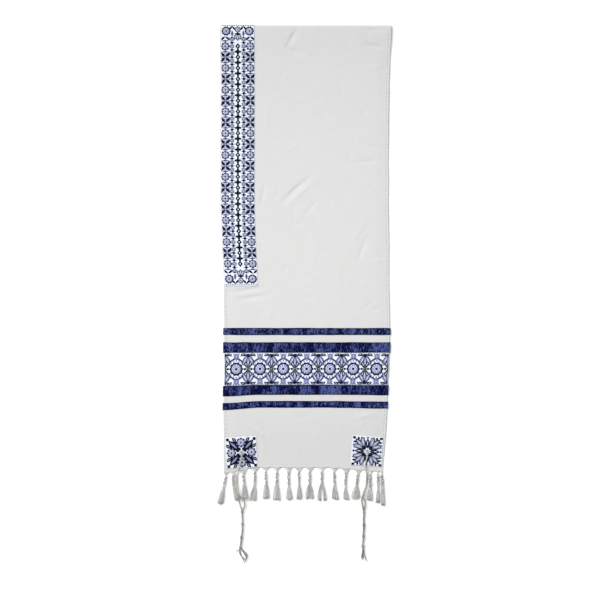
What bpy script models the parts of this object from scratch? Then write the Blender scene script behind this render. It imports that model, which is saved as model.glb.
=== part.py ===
"""A narrow tallit, or prayer shawl, folded in two across its length and lying flat.

Metres, +Z up. +Y runs from the fringed hem to the fold and +X to the right, as the shawl is looked down on.
The origin is the middle of the flat underside. The cloth is one wall that runs from the hem of the upper
half over the fold to the hem of the under half, and what is sewn on it is made from its points, moved out.
"""

import math

import bmesh
import bpy
from mathutils import Vector

MM = 0.001

# The cloth: half its length shows. "Along" is the distance from the upper hem, over the fold and back.
CLOTH_WIDTH = 376 * MM
CLOTH_WALL = 1.2 * MM
HEM_Y = -496.5 * MM
FOLD_Y = 500 * MM
SEAM = 0.3 * MM
SET_BACK = 100 * MM
UNDER_INSET = 3 * MM
FOLD_RADIUS = 3 * MM
LYING_HEIGHT = 4 * MM
EDGE_DROP = 1.3 * MM
EDGE_ROUNDING = 32 * MM
HEM_EASE = 125 * MM
FOLD_EASE = 75 * MM
GRID_STEP = 12 * MM
ATARA_CELLS = 7
BESIDE_CELLS = 26
LINE_GAP = 0.4 * MM
FOLD_STEPS = 8

# The side edges and how far the hem's corners droop, in millimetres from the middle line and the grain.
SECTIONS = [
    # along, left, right, left_droop, right_droop
    (0, -184.5, 172.5, 10.0, 7.5),
    (45, -184.7, 176.6, 9.5, 5.5),
    (100, -185.2, 180.0, 8.0, 3.5),
    (163, -185.0, 182.8, 4.0, 1.2),
    (225, -184.8, 185.9, 0.8, 0.0),
    (300, -184.4, 188.2, 0.0, 0.0),
    (350, -184.5, 188.2, 0.0, 0.0),
    (423, -185.6, 186.5, 0.0, 0.0),
    (495, -189.0, 186.0, 0.0, 0.0),
    (585, -192.2, 184.9, 0.0, 0.0),
    (729, -192.4, 185.0, 0.0, 0.0),
    (855, -192.2, 187.0, 0.0, 0.0),
    (1000, -192.9, 192.0, 0.0, 0.0),
]
LEFT_DROOP_REACH = 85 * MM
RIGHT_DROOP_REACH = 136 * MM

# The largest creases of the upper half, in millimetres and degrees from +X. A trough has a negative rise.
CREASES = [
    # x, y, turn, length, width, rise
    (-22, 130, 43, 100, 11, -1.5),
    (6, 88, 48, 52, 10, -0.9),
    (-132, -96, 6, 100, 10, -1.3),
    (-118, -112, 9, 92, 11, -1.1),
    (-31, 468, 62, 48, 12, -1.4),
    (-22, 446, -20, 54, 11, -1.3),
    (150, 452, -8, 56, 12, -1.2),
    (140, 196, 3, 66, 12, -0.9),
    (-97, 118, 80, 64, 9, -0.9),
    (128, 2, 63, 76, 12, -0.8),
    (-112, -410, -38, 54, 10, 0.9),
    (-92, -438, -84, 56, 10, 0.9),
    (132, -377, 8, 60, 12, 0.8),
]

# The atara follows the left edge. Its end stands this far along, and it goes round the fold.
ATARA_WIDTH = 75 * MM
ATARA_INSET = 2 * MM
ATARA_START = 411 * MM
ATARA_WALL = 1.2 * MM
ATARA_WRAP = math.radians(36)

# The border, from the hem upwards.
BORDER_START = 138 * MM
BORDER = [
    # name (none for bare cloth), width, wall
    ("ribbon_narrow_lower", 15, 1.0),
    (None, 14, 0),
    ("ribbon_wide_lower", 22, 1.0),
    ("embroidered_band", 72, 1.2),
    ("ribbon_wide_upper", 24, 1.0),
    (None, 16, 0),
    ("ribbon_narrow_upper", 16, 1.0),
]
RIBBON_OVERHANG = 2 * MM
BAND_INSET = 1.5 * MM

# The corner patches lie a little turned. Their eyelets are round holes through the patch and the cloth.
PATCHES = [
    # side, x, y, width, height, turn
    ("left", -144.9, -459.5, 70, 70, 3.2),
    ("right", 137.3, -456.5, 70, 67, -3.5),
]
PATCH_WALL = 1.0 * MM
PATCH_CELLS = 6
EYELET_RADIUS = 3.9 * MM
EYELET_THREAD = 0.9 * MM
EYELET_HOLE = 2.6 * MM

# The fringe, left to right, in millimetres.
TASSELS = [
    # root_x, neck_x, tip_x, tip_y, spread, neck_length, gather, parting
    (-179.6, -182.8, -192.6, -573, 7.2, 20, 4.6, 0),
    (-164.0, -163.4, -153.8, -566, 6.8, 26, 3.4, 0),
    (-140.9, -139.5, -136.6, -564, 7.2, 24, 5.0, 0),
    (-115.0, -114.8, -119.8, -566, 7.2, 27, 5.0, 1),
    (-91.0, -89.9, -89.2, -562, 8.0, 28, 5.0, 0),
    (-65.4, -65.4, -65.6, -565, 8.0, 26, 5.0, 0),
    (-39.3, -38.9, -37.3, -564, 7.6, 34, 5.0, 0),
    (-16.4, -16.2, -15.3, -563, 6.4, 26, 5.0, 0),
    (8.5, 7.9, 8.1, -563, 9.2, 30, 5.0, 1),
    (35.3, 35.3, 36.4, -567, 7.4, 28, 5.0, 2.6),
    (62.9, 63.8, 66.3, -564, 7.6, 30, 5.0, 0),
    (89.9, 88.1, 90.8, -564, 6.0, 34, 5.0, 0),
    (116.4, 113.7, 111.2, -563, 8.6, 26, 5.0, 1),
    (144.6, 144.0, 143.4, -566, 7.4, 34, 3.0, 0),
    (161.4, 161.8, 161.6, -571, 4.6, 22, 3.0, 0),
    (170.1, 171.4, 172.4, -577, 4.2, 26, 2.6, 0),
]
NECK_RADIUS = 2.3 * MM
NECK_SIDES = 10
NECK_RINGS = 6
NECK_LOBE = 0.2
NECK_TWIST = math.radians(40)
GATHER_LENGTH = 8 * MM
GATHER_THIN = 0.55 * MM
GATHER_HALFWAY = 0.62
GATHER_RISE = 1.3 * MM
FLOOR_GAP = 0.35 * MM
LOCK_SEGMENTS = 3
LOCK_APART = 0.12 * MM
LOCK_FILL = 0.82
LOCK_UNEVEN = 0.9 * MM
LOCK_ROW = 1.55 * MM
LOCK_HEIGHT = 1.05 * MM
LOCK_TIP = 0.55

# The corner cords, in millimetres. Each route starts in its eyelet or at the hem, in rows of
# x, y, z and radius, and the loose ends' rows hold a place on the way and the tip. The two at the
# back have no y of their own, because they start at the hem's edge.
CORD_SIDES = 8
CORD_RADIUS = 1.6
WOUND_RADIUS = 2.0
KNOT_RADIUS = 2.9
BACK_START_RADIUS = 1.5
BACK_START_GAP = 1.2
EYELET_ROUTE = [
    # dx and dy from the eyelet's middle, z from the floor
    (0.0, 0.0, 0.9),
    (0.0, 0.0, 3.4),
    (0.0, -0.9, 6.2),
    (0.0, -3.6, 8.0),
    (0.0, -7.6, 7.9),
    (0.0, -13.0, 6.0),
]
CORDS = {
    "left": {
        "front": [
            # x, y, z, radius
            (-148.6, -487, 5.0, CORD_RADIUS),
            (-152.6, -499, 3.8, CORD_RADIUS),
            (-154.2, -514, 2.6, CORD_RADIUS),
            (-154.2, -528, 3.6, CORD_RADIUS),
            (-152.6, -544, 7.4, CORD_RADIUS),
            (-147.6, -557, 8.2, CORD_RADIUS),
            (-138.6, -568, 7.8, CORD_RADIUS),
            (-137.6, -579, 4.6, CORD_RADIUS),
            (-142.4, -588, 3.4, CORD_RADIUS),
            (-143.2, -592, 3.4, KNOT_RADIUS),
            (-143.4, -597, 3.3, WOUND_RADIUS),
            (-142.4, -617, 3.3, WOUND_RADIUS),
            (-142.3, -621, 3.3, KNOT_RADIUS),
            (-142.3, -625, 3.3, WOUND_RADIUS),
            (-144.4, -645, 3.3, WOUND_RADIUS),
            (-145.0, -649, 3.3, KNOT_RADIUS),
            (-145.7, -653, 3.3, WOUND_RADIUS),
            (-147.0, -668, 3.3, WOUND_RADIUS),
            (-147.0, -672, 3.3, KNOT_RADIUS),
            (-146.9, -674.5, 3.3, WOUND_RADIUS),
        ],
        "back": [
            (-158.2, None, 1.95, BACK_START_RADIUS),
            (-157.6, -516, 2.4, CORD_RADIUS),
            (-156.6, -530, 4.4, CORD_RADIUS),
            (-154.4, -543, 7.8, CORD_RADIUS),
            (-150.2, -556, 9.2, CORD_RADIUS),
            (-149.8, -567, 7.8, CORD_RADIUS),
            (-147.2, -580, 4.6, CORD_RADIUS),
            (-143.6, -590, 3.4, CORD_RADIUS),
        ],
        "ends": [
            # via_x, via_y, end_x, end_y
            (-133.0, -688, -134.6, -706),
            (-136.0, -690, -137.6, -709),
            (-139.4, -689, -140.6, -703),
            (-150.2, -678, -156.2, -680.5),
            (-148.6, -686, -146.4, -699),
            (-145.6, -689, -142.8, -706),
            (-141.8, -690, -138.4, -712),
            (-137.6, -688, -133.8, -700),
        ],
    },
    "right": {
        "front": [
            (133.4, -484, 5.2, CORD_RADIUS),
            (134.0, -496, 4.8, CORD_RADIUS),
            (135.2, -508, 5.2, CORD_RADIUS),
            (135.2, -522, 6.0, CORD_RADIUS),
            (134.6, -534, 6.2, CORD_RADIUS),
            (131.4, -547, 7.0, CORD_RADIUS),
            (127.8, -559, 8.0, CORD_RADIUS),
            (132.2, -567, 7.2, CORD_RADIUS),
            (132.6, -577, 4.8, CORD_RADIUS),
            (130.2, -589, 3.4, CORD_RADIUS),
            (129.8, -593, 3.4, KNOT_RADIUS),
            (129.8, -598, 3.3, WOUND_RADIUS),
            (129.6, -617, 3.3, WOUND_RADIUS),
            (129.4, -621, 3.3, KNOT_RADIUS),
            (129.3, -625, 3.3, WOUND_RADIUS),
            (129.0, -643, 3.3, WOUND_RADIUS),
            (128.8, -647, 3.3, KNOT_RADIUS),
            (128.6, -651, 3.3, WOUND_RADIUS),
            (127.8, -666, 3.3, WOUND_RADIUS),
            (127.6, -670, 3.3, KNOT_RADIUS),
            (127.6, -672.5, 3.3, WOUND_RADIUS),
        ],
        "back": [
            (138.6, None, 1.95, BACK_START_RADIUS),
            (138.4, -513, 2.1, CORD_RADIUS),
            (136.8, -527, 2.1, CORD_RADIUS),
            (131.6, -541, 2.4, CORD_RADIUS),
            (127.6, -554, 3.6, CORD_RADIUS),
            (125.2, -567, 4.2, CORD_RADIUS),
            (126.8, -579, 3.8, CORD_RADIUS),
            (129.6, -591, 3.4, CORD_RADIUS),
        ],
        "ends": [
            (132.6, -687, 136.4, -701),
            (131.0, -688, 134.4, -705),
            (128.2, -689, 130.8, -706),
            (124.4, -686, 123.4, -694),
            (125.2, -687, 124.6, -699),
            (127.2, -690, 127.0, -703),
            (129.6, -689, 132.6, -704),
            (131.4, -688, 134.8, -699),
        ],
    },
}
RING_STEP = 9.0
END_SEGMENTS = 4
END_RADIUS = 0.75 * MM
END_SPOKE = 1.4 * MM
END_ROWS = (1.2 * MM, 3.7 * MM)

# sRGB colour, roughness
COLOURS = {
    "woven cloth": ((0.90, 0.90, 0.89), 0.9),
    "crinkled navy silk": ((0.16, 0.20, 0.38), 0.5),
    "embroidered ground": ((0.62, 0.65, 0.78), 0.7),
    "warp fringe": ((0.80, 0.80, 0.79), 0.9),
    "stitched thread": ((0.88, 0.88, 0.90), 0.6),
}


def smooth(t):
    t = min(max(t, 0.0), 1.0)
    return t * t * (3 - 2 * t)


def linear(value):
    return value / 12.92 if value <= 0.04045 else ((value + 0.055) / 1.055) ** 2.4


def section(along, column):
    """A column of SECTIONS at a distance from the hem, on a smooth curve through its rows, in metres."""
    at = min(max(along / MM, SECTIONS[0][0]), SECTIONS[-1][0])
    rows = SECTIONS
    i = max(k for k in range(len(rows) - 1) if rows[k][0] <= at)
    low, high = rows[i], rows[i + 1]
    before, after = rows[max(i - 1, 0)], rows[min(i + 2, len(rows) - 1)]
    span = high[0] - low[0]
    t = (at - low[0]) / span
    rise_low = (high[column] - before[column]) / (high[0] - before[0]) * span
    rise_high = (after[column] - low[column]) / (after[0] - low[0]) * span
    curve = (
        (2 * t**3 - 3 * t**2 + 1) * low[column]
        + (t**3 - 2 * t**2 + t) * rise_low
        + (3 * t**2 - 2 * t**3) * high[column]
        + (t**3 - t**2) * rise_high
    )
    return curve * MM


FLAT_END = FOLD_Y - CLOTH_WALL / 2 - FOLD_RADIUS - HEM_Y
UNDER_START = FLAT_END + math.pi * FOLD_RADIUS
CLOTH_END = UNDER_START + FLAT_END - SET_BACK


def crease_rise(x, y):
    """How far the creases lift or lower the upper half at a place: each is a bell across and along."""
    total = 0.0
    for cx, cy, turn, length, width, rise in CREASES:
        dx, dy = x - cx * MM, y - cy * MM
        c, s = math.cos(math.radians(turn)), math.sin(math.radians(turn))
        lengthways = abs(dx * c + dy * s) / (length * MM / 2)
        sideways = abs(dy * c - dx * s) / (width * MM)
        if lengthways < 1 and sideways < 1:
            bell = math.cos(math.pi / 2 * sideways) ** 2
            total += rise * MM * bell * math.cos(math.pi / 2 * lengthways)
    return total


def upper_height(x, y, along, from_side):
    """The middle of the upper half's wall: on the floor at the hem, over the under half, up at the fold."""
    side = 1 - smooth(from_side / EDGE_ROUNDING)
    lying = LYING_HEIGHT - EDGE_DROP * side
    fold = smooth((along - (FLAT_END - FOLD_EASE)) / FOLD_EASE)
    at_fold = CLOTH_WALL / 2 + 2 * FOLD_RADIUS
    resting = CLOTH_WALL / 2
    height = resting + (lying - resting) * smooth(along / HEM_EASE)
    return height + (at_fold - height) * fold + crease_rise(x, y)


def across_place(across, left, right):
    """The first stretch from the left keeps its width, for the atara, and the rest takes up the change."""
    kept = ATARA_INSET + ATARA_WIDTH
    if across <= kept:
        return left + across
    return left + kept + (across - kept) * (right - left - kept) / (CLOTH_WIDTH - kept)


def cloth_point(across, along):
    """The middle of the cloth's wall, at a distance from its left edge and along it from the upper hem."""
    mirrored = min(along, UNDER_START + FLAT_END - along)
    left, right = section(mirrored, 1), section(mirrored, 2)
    if along > FLAT_END:
        inset = UNDER_INSET * smooth((along - UNDER_START) / FOLD_EASE)
        x = across_place(across, left + inset, right - inset)
        if along >= UNDER_START:
            return Vector((x, HEM_Y + FLAT_END - (along - UNDER_START), CLOTH_WALL / 2))
        turn = (along - FLAT_END) / FOLD_RADIUS
        y = HEM_Y + FLAT_END + FOLD_RADIUS * math.sin(turn)
        z = CLOTH_WALL / 2 + FOLD_RADIUS * (1 + math.cos(turn))
        return Vector((x, y, z))
    x = across_place(across, left, right)
    left_droop = section(along, 3) * (1 - smooth((x - left) / LEFT_DROOP_REACH))
    right_droop = section(along, 4) * (1 - smooth((right - x) / RIGHT_DROOP_REACH))
    y = HEM_Y + along - left_droop - right_droop
    from_side = min(x - left, right - x)
    return Vector((x, y, upper_height(x, y, along, from_side)))


def cloth_normal(across, along):
    """The direction out of the cloth's face, upwards on the upper half."""
    step = 1 * MM
    sideways = cloth_point(across + step, along) - cloth_point(across - step, along)
    lengthways = cloth_point(across, along + step) - cloth_point(across, along - step)
    return sideways.cross(lengthways).normalized()


def columns_between(start, end):
    """The grid's lines along the cloth: a stretch's ends, and between them the cloth's own lines."""
    under_atara = [ATARA_INSET + ATARA_WIDTH * k / ATARA_CELLS for k in range(ATARA_CELLS + 1)]
    kept = under_atara[-1]
    beside = [kept + (CLOTH_WIDTH - kept) * k / BESIDE_CELLS for k in range(1, BESIDE_CELLS)]
    return [start] + [line for line in under_atara + beside if start < line < end] + [end]


def rows_between(start, end):
    """The grid's lines across the cloth: a stretch's ends, and between them the cloth's own lines."""
    lines = [k * GRID_STEP for k in range(1, int(FLAT_END / GRID_STEP))] + [FLAT_END]
    lines += [FLAT_END + math.pi * FOLD_RADIUS * k / FOLD_STEPS for k in range(1, FOLD_STEPS + 1)]
    lines += [UNDER_START + FOLD_EASE * k / 4 for k in range(1, 5)]
    lines += [UNDER_START + FLAT_END * k / 8 for k in range(1, 8)]
    lines.append(ATARA_START)
    inside = [line for line in lines if start + LINE_GAP < line < end - LINE_GAP]
    return [start] + sorted(inside) + [end]


def finish(name, mesh, colour, collection):
    """An object of the mesh, with its own material."""
    obj = bpy.data.objects.new(name, mesh)
    collection.objects.link(obj)
    material = bpy.data.materials.new(f"{colour} of {name}")
    material.use_nodes = True
    shader = material.node_tree.nodes["Principled BSDF"]
    rgb, roughness = COLOURS[colour]
    shader.inputs["Base Color"].default_value = (*[linear(value) for value in rgb], 1)
    shader.inputs["Roughness"].default_value = roughness
    obj.data.materials.append(material)
    return obj


def sheet(name, colour, collection, columns, rows, place, wall, outwards):
    """A sheet through place(across, along) at each crossing of the grid, given its wall by Solidify."""
    bm = bmesh.new()
    grid = [[bm.verts.new(place(across, along)) for across in columns] for along in rows]
    for low, high in zip(grid, grid[1:]):
        for k in range(len(columns) - 1):
            bm.faces.new((low[k], low[k + 1], high[k + 1], high[k]))
    bmesh.ops.triangulate(bm, faces=bm.faces[:], quad_method="FIXED")
    mesh = bpy.data.meshes.new(name)
    bm.to_mesh(mesh)
    bm.free()
    obj = finish(name, mesh, colour, collection)
    solidify = obj.modifiers.new("wall", "SOLIDIFY")
    solidify.thickness = wall
    solidify.offset = 1 if outwards else 0
    solidify.use_even_offset = True
    return obj


def outside_cloth(across, along):
    """A point of what is sewn on the cloth: the cloth's own point, moved out past the seam's gap."""
    return cloth_point(across, along) + cloth_normal(across, along) * (CLOTH_WALL / 2 + SEAM)


def cut(obj, cutter):
    hole = obj.modifiers.new("hole", "BOOLEAN")
    hole.operation = "DIFFERENCE"
    hole.solver = "EXACT"
    hole.object = cutter


def cloth_panel(collection):
    columns = columns_between(0, CLOTH_WIDTH)
    rows = rows_between(0, CLOTH_END)
    return sheet(
        "cloth_panel", "woven cloth", collection, columns, rows, cloth_point, CLOTH_WALL, False
    )


def atara(collection):
    columns = columns_between(ATARA_INSET, ATARA_INSET + ATARA_WIDTH)
    end = FLAT_END + FOLD_RADIUS * (math.pi / 2 + ATARA_WRAP)
    rows = rows_between(ATARA_START, end)
    sheet(
        "atara", "embroidered ground", collection, columns, rows, outside_cloth, ATARA_WALL, True
    )


def border(collection):
    start = BORDER_START
    for name, width, wall in BORDER:
        end = start + width * MM
        if name:
            ribbon = name.startswith("ribbon")
            margin = -RIBBON_OVERHANG if ribbon else BAND_INSET
            columns = columns_between(margin, CLOTH_WIDTH - margin)
            rows = rows_between(start + SEAM / 2, end - SEAM / 2)
            colour = "crinkled navy silk" if ribbon else "embroidered ground"
            sheet(name, colour, collection, columns, rows, outside_cloth, wall * MM, True)
        start = end


def place_on_upper(x, y):
    """The distances across and along of a place on the upper half near the hem, found by stepping to it."""
    across, along = x - section(0, 1), y - HEM_Y
    for _ in range(12):
        off = cloth_point(across, along) - Vector((x, y, 0))
        across -= off.x
        along -= off.y
    return across, along


def patch_corner(collection, cutters, cloth, side, x, y, width, height, turn):
    """A corner patch on a grid of its own, turned a little, with the eyelet's hole and ring."""
    c, s = math.cos(math.radians(turn)), math.sin(math.radians(turn))

    def place(u, v):
        spot_x, spot_y = x * MM + u * c - v * s, y * MM + u * s + v * c
        return outside_cloth(*place_on_upper(spot_x, spot_y))

    columns = [width * MM * (k / PATCH_CELLS - 0.5) for k in range(PATCH_CELLS + 1)]
    rows = [height * MM * (k / PATCH_CELLS - 0.5) for k in range(PATCH_CELLS + 1)]
    name = f"corner_patch_{side}"
    patch = sheet(name, "embroidered ground", collection, columns, rows, place, PATCH_WALL, True)

    bpy.ops.mesh.primitive_cylinder_add(
        vertices=16, radius=EYELET_HOLE, depth=30 * MM, location=(x * MM, y * MM, 0)
    )
    cutter = bpy.context.object
    cutter.name = f"eyelet_cutter_{side}"
    move_to(cutter, cutters)
    cutter.hide_render = True
    cutter.display_type = "WIRE"
    cut(patch, cutter)
    cut(cloth, cutter)

    across, along = place_on_upper(x * MM, y * MM)
    normal = cloth_normal(across, along)
    top = outside_cloth(across, along) + normal * PATCH_WALL
    bpy.ops.mesh.primitive_torus_add(
        major_segments=14,
        minor_segments=6,
        major_radius=EYELET_RADIUS,
        minor_radius=EYELET_THREAD,
        location=top + normal * (SEAM + EYELET_THREAD),
        rotation=normal.to_track_quat("Z", "Y").to_euler(),
    )
    ring = bpy.context.object
    ring_mesh = ring.data
    place_matrix = ring.matrix_world.copy()
    bpy.data.objects.remove(ring)
    eyelet = finish(f"eyelet_{side}", ring_mesh, "stitched thread", collection)
    eyelet.matrix_world = place_matrix
    eyelet.data.shade_smooth()


def move_to(obj, collection):
    for old in obj.users_collection:
        old.objects.unlink(obj)
    collection.objects.link(obj)


def loft(bm, rings):
    """A closed tube through rings of equal counts, with both ends capped. Returns the face of its far end."""
    loops = [[bm.verts.new(point) for point in ring] for ring in rings]
    count = len(loops[0])
    bm.faces.new(loops[0])
    for near, far in zip(loops, loops[1:]):
        for k in range(count):
            n = (k + 1) % count
            bm.faces.new((near[n], near[k], far[k], far[n]))
    return bm.faces.new(list(reversed(loops[-1])))


def ring_of(centre, heading, half_width, half_height, count, twist=0.0, lobe=0.0):
    """Points round a centre, square to a heading. A lobe gives the outline of two plies, turned by twist."""
    side = heading.cross(Vector((0, 0, 1)))
    if side.length < 1e-3:
        side = Vector((1, 0, 0))
    side.normalize()
    up = side.cross(heading).normalized()
    points = []
    for k in range(count):
        angle = 2 * math.pi * (k + 0.5) / count
        swell = 1 + lobe * math.cos(2 * (angle - twist))
        points.append(
            centre
            + side * (half_width * swell * math.cos(angle))
            + up * (half_height * swell * math.sin(angle))
        )
    return points


def curve_point(points, t):
    """A point on the smooth curve through points, t from 0 to 1."""
    spot = min(max(t, 0.0), 1.0) * (len(points) - 1)
    i = min(int(spot), len(points) - 2)
    t = spot - i
    a, b = points[i], points[i + 1]
    before = points[i - 1] if i > 0 else a * 2 - b
    after = points[i + 2] if i + 2 < len(points) else b * 2 - a
    return (
        (-(t**3) + 2 * t**2 - t) / 2 * before
        + (3 * t**3 - 5 * t**2 + 2) / 2 * a
        + (-3 * t**3 + 4 * t**2 + t) / 2 * b
        + (t**3 - t**2) / 2 * after
    )


def grow_locks(bm, cap, routes):
    """Fans the cap into triangles and draws each out along its route of (centre, half sizes).

    The routes go round the cap from +X over the top.
    """
    hub = cap.calc_center_median()
    fan = bmesh.ops.poke(bm, faces=[cap])["faces"]
    bmesh.ops.inset_individual(bm, faces=fan, thickness=LOCK_APART, use_even_offset=True)

    def round_the_cap(face):
        spoke = face.calc_center_median() - hub
        return (math.atan2(spoke.z, spoke.x) + 0.2) % (2 * math.pi)

    fan.sort(key=round_the_cap)
    for face, route in zip(fan, routes):
        middle = face.calc_center_median()
        corners = [vert.co - middle for vert in face.verts]
        reach = max(corner.length for corner in corners)
        shape = [Vector((corner.x, 0, corner.z)) / reach for corner in corners]
        for centre, half_width, half_height in route:
            face = bmesh.ops.extrude_discrete_faces(bm, faces=[face])["faces"][0]
            for vert, corner in zip(face.verts, shape):
                vert.co = centre + Vector((corner.x * half_width, 0, corner.z * half_height))


def tassel(number, collection, root_x, neck_x, tip_x, tip_y, spread, neck_length, gather, parting):
    """Warp threads gathered at the hem, twisted in a neck of two plies and spread in a flat skirt."""
    across, _ = place_on_upper(root_x * MM, HEM_Y)
    hem = cloth_point(across, 0)
    along_hem = (cloth_point(across + 3 * MM, 0) - cloth_point(across - 3 * MM, 0)).normalized()
    out = along_hem.cross(Vector((0, 0, 1))).normalized()
    lie = FLOOR_GAP + NECK_RADIUS * (1 + NECK_LOBE)
    root = Vector((hem.x, hem.y, CLOTH_WALL / 2 + FLOOR_GAP / 2)) + out * SEAM
    gathered = root + out * GATHER_LENGTH
    gathered.z = lie
    neck_end = Vector((neck_x * MM, hem.y - neck_length * MM, lie))
    tip = Vector((tip_x * MM, tip_y * MM, lie))

    rings = [
        ring_of(root, out, gather * MM, GATHER_THIN, NECK_SIDES),
        ring_of(
            root.lerp(gathered, 0.45), out, GATHER_HALFWAY * gather * MM, GATHER_RISE, NECK_SIDES
        ),
    ]
    for k in range(NECK_RINGS):
        t = k / (NECK_RINGS - 1)
        centre = gathered.lerp(neck_end, t)
        heading = (neck_end - gathered).normalized()
        rings.append(
            ring_of(
                centre, heading, NECK_RADIUS, NECK_RADIUS, NECK_SIDES, NECK_TWIST * k, NECK_LOBE
            )
        )
    bm = bmesh.new()
    cap = loft(bm, rings)

    lock_count = NECK_SIDES // 2
    lock_width = spread / lock_count * MM * LOCK_FILL
    routes = []
    for k in range(NECK_SIDES):
        upper = k < lock_count
        place = (k if upper else NECK_SIDES - 1 - k) + 0.5
        share = 1 - 2 * place / lock_count
        apart = share * spread + math.copysign(parting, share + 0.01)
        row = LOCK_ROW if upper else -LOCK_ROW
        angle = 2 * math.pi * k / NECK_SIDES
        start = Vector(
            (0.6 * NECK_RADIUS * math.cos(angle), 0, 0.6 * NECK_RADIUS * math.sin(angle))
        )
        uneven = (k * 7 % 5 - 2) * LOCK_UNEVEN
        route = []
        for step in range(1, LOCK_SEGMENTS + 1):
            t = step / LOCK_SEGMENTS
            line = neck_end.lerp(tip, t)
            line.y += uneven * t
            end = Vector((apart * MM, 0, row))
            centre = line + start.lerp(end, smooth(0.25 + 0.75 * t))
            thick = LOCK_TIP if step == LOCK_SEGMENTS else 1
            width = (0.55 + 0.45 * t) * lock_width * thick
            route.append((centre, width, LOCK_HEIGHT * thick))
        routes.append(route)
    grow_locks(bm, cap, routes)
    mesh = bpy.data.meshes.new(f"tassel_{number:02d}")
    bm.to_mesh(mesh)
    bm.free()
    finish(f"tassel_{number:02d}", mesh, "warp fringe", collection)


def cord_rings(stops):
    """Rings along the smooth curve through stops of (x, y, z, radius) in millimetres, RING_STEP apart."""
    points = [Vector(stop[:3]) for stop in stops]
    rings = []
    for i in range(len(stops) - 1):
        length = (points[i + 1] - points[i]).length
        count = max(1, round(length / RING_STEP))
        for k in range(count + (i == len(stops) - 2)):
            t = (i + k / count) / (len(points) - 1)
            heading = curve_point(points, t + 1e-3) - curve_point(points, t - 1e-3)
            radius = stops[i][3] + (stops[i + 1][3] - stops[i][3]) * smooth(k / count)
            rings.append((curve_point(points, t), heading.normalized(), radius))
    return rings


def turned_rings(stops):
    """The rings' points in metres, each ring turned the least from the one before it, so without a twist."""
    side = Vector((1, 0, 0))
    result = []
    for centre, heading, radius in cord_rings(stops):
        side = (side - heading * side.dot(heading)).normalized()
        up = side.cross(heading).normalized()
        ring = []
        for k in range(CORD_SIDES):
            angle = 2 * math.pi * (k + 0.5) / CORD_SIDES
            ring.append((centre + (side * math.cos(angle) + up * math.sin(angle)) * radius) * MM)
        result.append(ring)
    return result


def tzitzit(side, eyelet_x, eyelet_y, collection, cutters):
    """A corner cord: up through the eyelet, over the hem, joined by strands from below, knotted and wound."""
    rows = CORDS[side]
    front = [(eyelet_x + dx, eyelet_y + dy, z, CORD_RADIUS) for dx, dy, z in EYELET_ROUTE]
    front += rows["front"]
    bm = bmesh.new()
    cap = loft(bm, turned_rings(front))
    last = Vector(front[-1][:3]) * MM
    routes = []
    for k in range(CORD_SIDES):
        via_x, via_y, end_x, end_y = rows["ends"][k]
        row = END_ROWS[1] if k < CORD_SIDES // 2 else END_ROWS[0]
        via = Vector((via_x * MM, via_y * MM, row))
        end = Vector((end_x * MM, end_y * MM, row))
        angle = 2 * math.pi * k / CORD_SIDES
        spoke = Vector((math.cos(angle), 0, math.sin(angle))) * END_SPOKE
        line = [last + spoke, via, end]
        steps = [curve_point(line, (j + 1) / END_SEGMENTS) for j in range(END_SEGMENTS)]
        routes.append([(point, END_RADIUS, END_RADIUS) for point in steps])
    grow_locks(bm, cap, routes)
    mesh = bpy.data.meshes.new(f"tzitzit_{side}")
    bm.to_mesh(mesh)
    bm.free()
    cord = finish(f"tzitzit_{side}", mesh, "stitched thread", collection)

    back = list(rows["back"])
    start_x = back[0][0]
    across, _ = place_on_upper(start_x * MM, HEM_Y)
    hem = cloth_point(across, 0)
    back[0] = (start_x, hem.y / MM - BACK_START_GAP, back[0][2], back[0][3])
    bm = bmesh.new()
    loft(bm, turned_rings(back))
    mesh = bpy.data.meshes.new(f"back_strands_{side}")
    bm.to_mesh(mesh)
    bm.free()
    strands = bpy.data.objects.new(f"back_strands_{side}", mesh)
    cutters.objects.link(strands)
    strands.hide_render = True
    strands.display_type = "WIRE"
    join = cord.modifiers.new("back strands", "BOOLEAN")
    join.operation = "UNION"
    join.solver = "EXACT"
    join.object = strands


def main():
    for obj in list(bpy.data.objects):
        bpy.data.objects.remove(obj)
    collection = bpy.data.collections.new("tallit")
    cutters = bpy.data.collections.new("cutters")
    for made in (collection, cutters):
        bpy.context.scene.collection.children.link(made)
    cloth = cloth_panel(collection)
    atara(collection)
    border(collection)
    for side, x, y, width, height, turn in PATCHES:
        patch_corner(collection, cutters, cloth, side, x, y, width, height, turn)
        tzitzit(side, x, y, collection, cutters)
    for number, row in enumerate(TASSELS, 1):
        tassel(number, collection, *row)


main()
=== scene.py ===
"""The look of a narrow tallit, or prayer shawl, folded in two across its length and lying flat.

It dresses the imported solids, in metres in their frame: +Y runs from the fringed hem to the fold, +X to the
right as the shawl is looked down on, and +Z up. Every sheet lies on the same surface as in the solids, with
finer creases, and what is sewn or embroidered on it is laid out flat in millimetres and then draped over it.
"""

import math

import bpy
import numpy as np
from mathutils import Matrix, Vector


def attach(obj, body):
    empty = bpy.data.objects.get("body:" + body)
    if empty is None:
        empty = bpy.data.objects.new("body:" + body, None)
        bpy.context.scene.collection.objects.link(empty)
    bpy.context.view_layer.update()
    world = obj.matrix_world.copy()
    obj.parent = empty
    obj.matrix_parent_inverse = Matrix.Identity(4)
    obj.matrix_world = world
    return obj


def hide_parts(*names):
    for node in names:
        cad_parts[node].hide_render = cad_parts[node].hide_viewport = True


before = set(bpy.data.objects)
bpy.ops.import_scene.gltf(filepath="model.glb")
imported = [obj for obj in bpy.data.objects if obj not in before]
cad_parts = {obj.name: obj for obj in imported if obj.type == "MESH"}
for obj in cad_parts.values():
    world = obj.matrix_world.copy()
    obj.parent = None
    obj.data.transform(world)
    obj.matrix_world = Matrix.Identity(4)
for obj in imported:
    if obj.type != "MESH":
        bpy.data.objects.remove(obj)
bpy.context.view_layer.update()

MM = 0.001

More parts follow.
